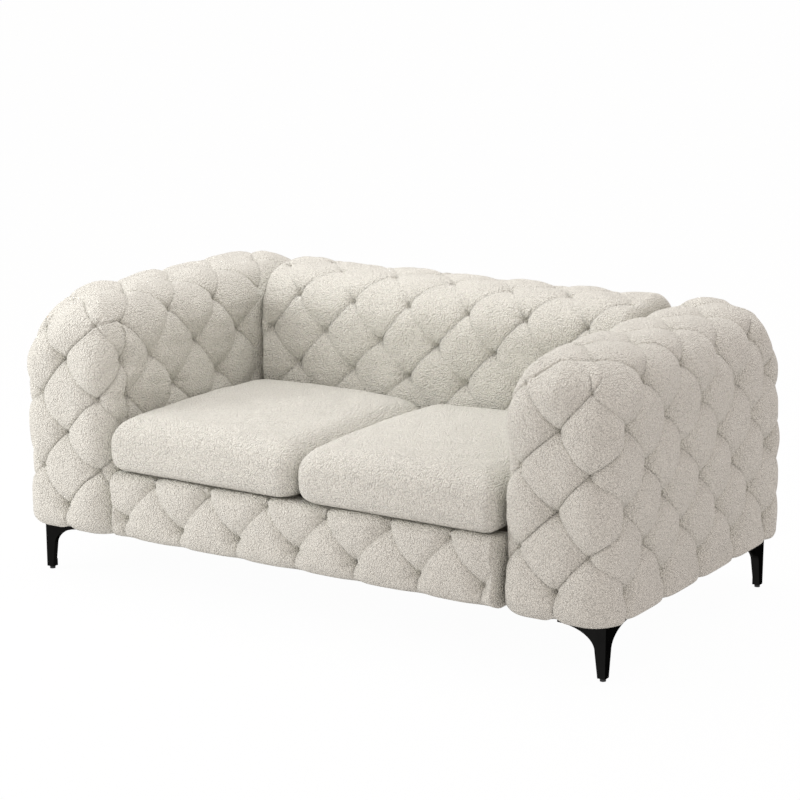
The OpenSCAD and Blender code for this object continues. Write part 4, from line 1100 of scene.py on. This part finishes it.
def looped_fabric(name, colours, height=0.0070, level=0.61):
    """Cream looped fabric: small loops from cell and noise patterns, with slow mottling, a fuzzy
    sheen and no gloss. Where the loops are low the colour goes towards the deep cream, a painted
    shade between the loops laid over the bump. The loops stand up by height, and level is how
    light the cloth is. Cloth that is drawn tight has lower loops, which shade it less."""
    material, shader, place = finish_of(
        name, Roughness=0.95, Specular_IOR_Level=0.2, Sheen_Weight=0.25, Sheen_Roughness=0.6
    )
    cells = {"Vector": place, "Scale": 210.0, "Randomness": 0.8}
    loops = place.node("ShaderNodeTexVoronoi", {}, cells)
    relief = (1.0 - loops) * 0.85 + noise(place, 420.0, 1.0) * 0.4
    mottle = noise(place, 14.0, 3.0, 0.6)
    # The tone follows the loops' relief, so the gaps between the loops are darker in colour: painted
    # shade.
    tone = (relief - 0.68) * 0.8 + (mottle - 0.5) * 0.12 + level
    cream = blend(tone, colours.cream_painted_shade, colours.cream)
    feed(shader, Base_Color=cream, Normal=bump(relief, height))
    return material


def plain_weave(name, tint):
    """Plain woven cloth: two crossed waves, bent a little by noise, over a mottled colour."""
    material, shader, place = finish_of(name, Roughness=0.9)
    threads = {"Scale": 190.0, "Distortion": 0.6, "Detail": 1.0}
    warp, weft = (wave(place, {"bands_direction": way}, threads) for way in ("X", "Y"))
    relief = warp * 0.5 + weft * 0.5
    tone = relief * 0.5 + noise(place, 40.0, 3.0) * 0.5
    feed(shader, Base_Color=blend(tone, shade(tint, 0.72), tint), Normal=bump(relief, 0.0006, 0.5))
    return material


def black_coat(name, tint):
    """Satin black powder coat on metal: a fine orange-peel texture and slightly uneven gloss."""
    material, shader, place = finish_of(
        name, Metallic=1.0, Roughness=0.42, Specular_Tint=(0.15, 0.15, 0.15, 1.0)
    )
    peel, wear = noise(place, 900.0), noise(place, 30.0, 4.0, 0.6)
    feed(shader, Base_Color=blend(wear, tint, shade(tint, 1.7)))
    feed(shader, Roughness=wear * 0.12 + 0.36, Normal=bump(peel, 0.0002, 0.25))
    return material


def black_plastic(name, tint):
    """Moulded black plastic with a fine grain."""
    material, shader, place = finish_of(name, Roughness=0.6)
    grain = noise(place, 1200.0)
    feed(shader, Base_Color=blend(grain, shade(tint, 0.7), shade(tint, 1.3)))
    feed(shader, Normal=bump(grain, 0.0001, 0.3))
    return material


def planed_wood(name, tint):
    """Planed softwood: rings stretched along the grain, darker late wood, faint fibres."""
    material, shader, place = finish_of(name, Roughness=0.65)
    along, fine = (
        place.node("ShaderNodeMapping", {}, {"Vector": place, "Scale": scale})
        for scale in ((9.0, 1.4, 9.0), (700.0, 40.0, 700.0))
    )
    grain = {"Scale": 2.2, "Distortion": 5.0, "Detail": 3.0, "Detail Scale": 1.2}
    rings = wave(along, {"wave_type": "RINGS", "rings_direction": "Y"}, grain)
    fibre = noise(fine, 1.0)
    tone = rings * 0.6 + fibre * 0.4
    feed(shader, Base_Color=blend(tone, shade(tint, 0.62), tint), Normal=bump(fibre, 0.0003, 0.3))
    return material


def zinc_plate(name, tint):
    """Bright zinc plate with a faint spangle."""
    material, shader, place = finish_of(name, Metallic=1.0, Roughness=0.4)
    spangle = noise(place, 150.0, 3.0, 0.6)
    feed(shader, Base_Color=blend(spangle, shade(tint, 0.75), tint))
    feed(shader, Roughness=spangle * 0.25 + 0.28)
    return material


class SOFA_OT_finishes(bpy.types.Operator):
    """Finishes of the pieces that keep their solids' shape: legs, glides, frames, springs, bolts"""

    bl_idname = "sofa.finishes"
    bl_label = "Finishes"

    def execute(self, context):
        colours = context.scene.sofa_colours
        made = {
            "leg_metal": black_coat("leg_coat", colours.black),
            "glide_black": black_plastic("glide_plastic", colours.black),
            "frame_wood": planed_wood("frame_timber", colours.wood),
            "zinc_steel": zinc_plate("zinc_plate", colours.steel),
            "webbing": plain_weave("elastic_webbing", colours.straps),
        }
        for part in frame["record"]["subparts"]:
            if part["material_slot"] in made:
                materials = frame["nodes"][part["node"]].data.materials
                materials.clear()
                materials.append(made[part["material_slot"]])
        return {"FINISHED"}


def seen_directly(wire):
    """1 for rays from the camera, a mirror or glass, else 0."""
    rays = ("Is Camera Ray", "Is Glossy Ray", "Is Transmission Ray")
    camera, glossy, through = (wire.node("ShaderNodeLightPath", output=ray) for ray in rays)
    return camera.maths("MAXIMUM", camera, glossy.maths("MAXIMUM", glossy, through))


def add_floor():
    """A wide pale floor that glows where it is seen directly, so that it ends without an edge."""
    ways = ((-1, -1), (1, -1), (1, 1), (-1, 1))
    mesh = bpy.data.meshes.new("studio_floor")
    mesh.from_pydata([(FLOOR_SIZE * x, FLOOR_SIZE * y, 0) for x, y in ways], [], [(0, 1, 2, 3)])
    floor = bpy.data.objects.new("studio_floor", mesh)
    bpy.context.collection.objects.link(floor)
    material, shader, place = finish_of("floor_white", Roughness=0.9, Base_Color=FLOOR_COLOUR)
    glow = place.node("ShaderNodeEmission", {}, {"Color": (1.0, 1.0, 1.0, 1.0), "Strength": 1.0})
    shaders = {1: Wire(place.tree, shader.outputs[0]), 2: glow}
    glowing = {0: seen_directly(place) * FLOOR_GLOW, **shaders}
    whole = place.node("ShaderNodeMixShader", {}, glowing)
    feed(place.tree.nodes["Material Output"], Surface=whole)
    mesh.materials.append(material)


def add_world(scene, settings):
    """Even light from all round, white where it is seen directly and softer on the sofa."""
    world = bpy.data.worlds.new("studio_world")
    world.use_nodes = True
    scene.world = world
    background = world.node_tree.nodes["Background"]
    direct = seen_directly(Wire(world.node_tree, background.outputs[0]))
    strength = direct * (1.0 - settings.ambient) + settings.ambient
    feed(background, Strength=strength, Color=blend(direct, settings.tint, (1.0, 1.0, 1.0)))


def add_lamp(name, place, target, size, cone, power):
    """A lamp aimed at a target: a square one, or a spot where a cone's angle is given."""
    lamp = bpy.data.lights.new(name, "SPOT" if cone else "AREA")
    if cone:
        lamp.spot_size, lamp.spot_blend, lamp.shadow_soft_size = cone, 1.0, size
    else:
        lamp.shape, lamp.size = "SQUARE", size
    lamp.energy, lamp.color = power, LAMP_COLOUR
    item = bpy.data.objects.new(name, lamp)
    bpy.context.collection.objects.link(item)
    item.location = place
    x, y, z = np.array(target) - np.array(place)
    item.rotation_euler = (math.atan2(math.hypot(x, y), -z), 0.0, math.atan2(y, x) - math.pi / 2)


def add_camera(scene):
    """The camera that sees the sofa as the photograph does."""
    lens = bpy.data.cameras.new("photo_camera")
    lens.sensor_width, lens.lens, lens.clip_end = SENSOR_WIDTH, CAMERA_LENS, VIEW_END
    lens.shift_x, lens.shift_y = CAMERA_SHIFT
    camera = bpy.data.objects.new("photo_camera", lens)
    bpy.context.collection.objects.link(camera)
    camera.location, camera.rotation_euler = CAMERA_PLACE, CAMERA_TURN
    scene.camera = camera


class SOFA_OT_stage(bpy.types.Operator):
    """Pale floor, soft studio light and the camera"""

    bl_idname = "sofa.stage"
    bl_label = "Stage"

    def execute(self, context):
        scene = context.scene
        settings = scene.sofa_stage
        add_floor()
        add_world(scene, settings)
        for name, *lamp in LAMPS:
            add_lamp(f"{name}_light", *lamp, getattr(settings, name))
        add_camera(scene)
        scene.view_settings.view_transform = "Standard"
        return {"FINISHED"}


STEPS = (
    "arms",
    "back",
    "front_rail",
    "seat_cushions",
    "outside_back",
    "deck",
    "dust_cloth",
    "finishes",
    "stage",
)


class SOFA_PT_panel(bpy.types.Panel):
    """Buttons for each group of pieces"""

    bl_idname = "SOFA_PT_panel"
    bl_label = "Tufted sofa"
    bl_space_type = "VIEW_3D"
    bl_region_type = "UI"
    bl_category = "Sofa"

    def draw(self, context):
        for step in STEPS:
            self.layout.operator(f"sofa.{step}")


GROUPS = {
    "sofa_form": SofaForm,
    "sofa_tufting": SofaTufting,
    "sofa_cushions": SofaCushions,
    "sofa_colours": SofaColours,
    "sofa_stage": SofaStage,
}
CLASSES = (
    *GROUPS.values(),
    SOFA_OT_arms,
    SOFA_OT_back,
    SOFA_OT_front_rail,
    SOFA_OT_seat_cushions,
    SOFA_OT_outside_back,
    SOFA_OT_deck,
    SOFA_OT_dust_cloth,
    SOFA_OT_finishes,
    SOFA_OT_stage,
    SOFA_PT_panel,
)


def register():
    for item in CLASSES:
        bpy.utils.register_class(item)
    for name, group in GROUPS.items():
        setattr(bpy.types.Scene, name, bpy.props.PointerProperty(type=group))


def unregister():
    for name in GROUPS:
        delattr(bpy.types.Scene, name)
    for item in reversed(CLASSES):
        bpy.utils.unregister_class(item)


def main():
    register()
    for step in STEPS:
        getattr(bpy.ops.sofa, step)()


if __name__ == "__main__":
    main()
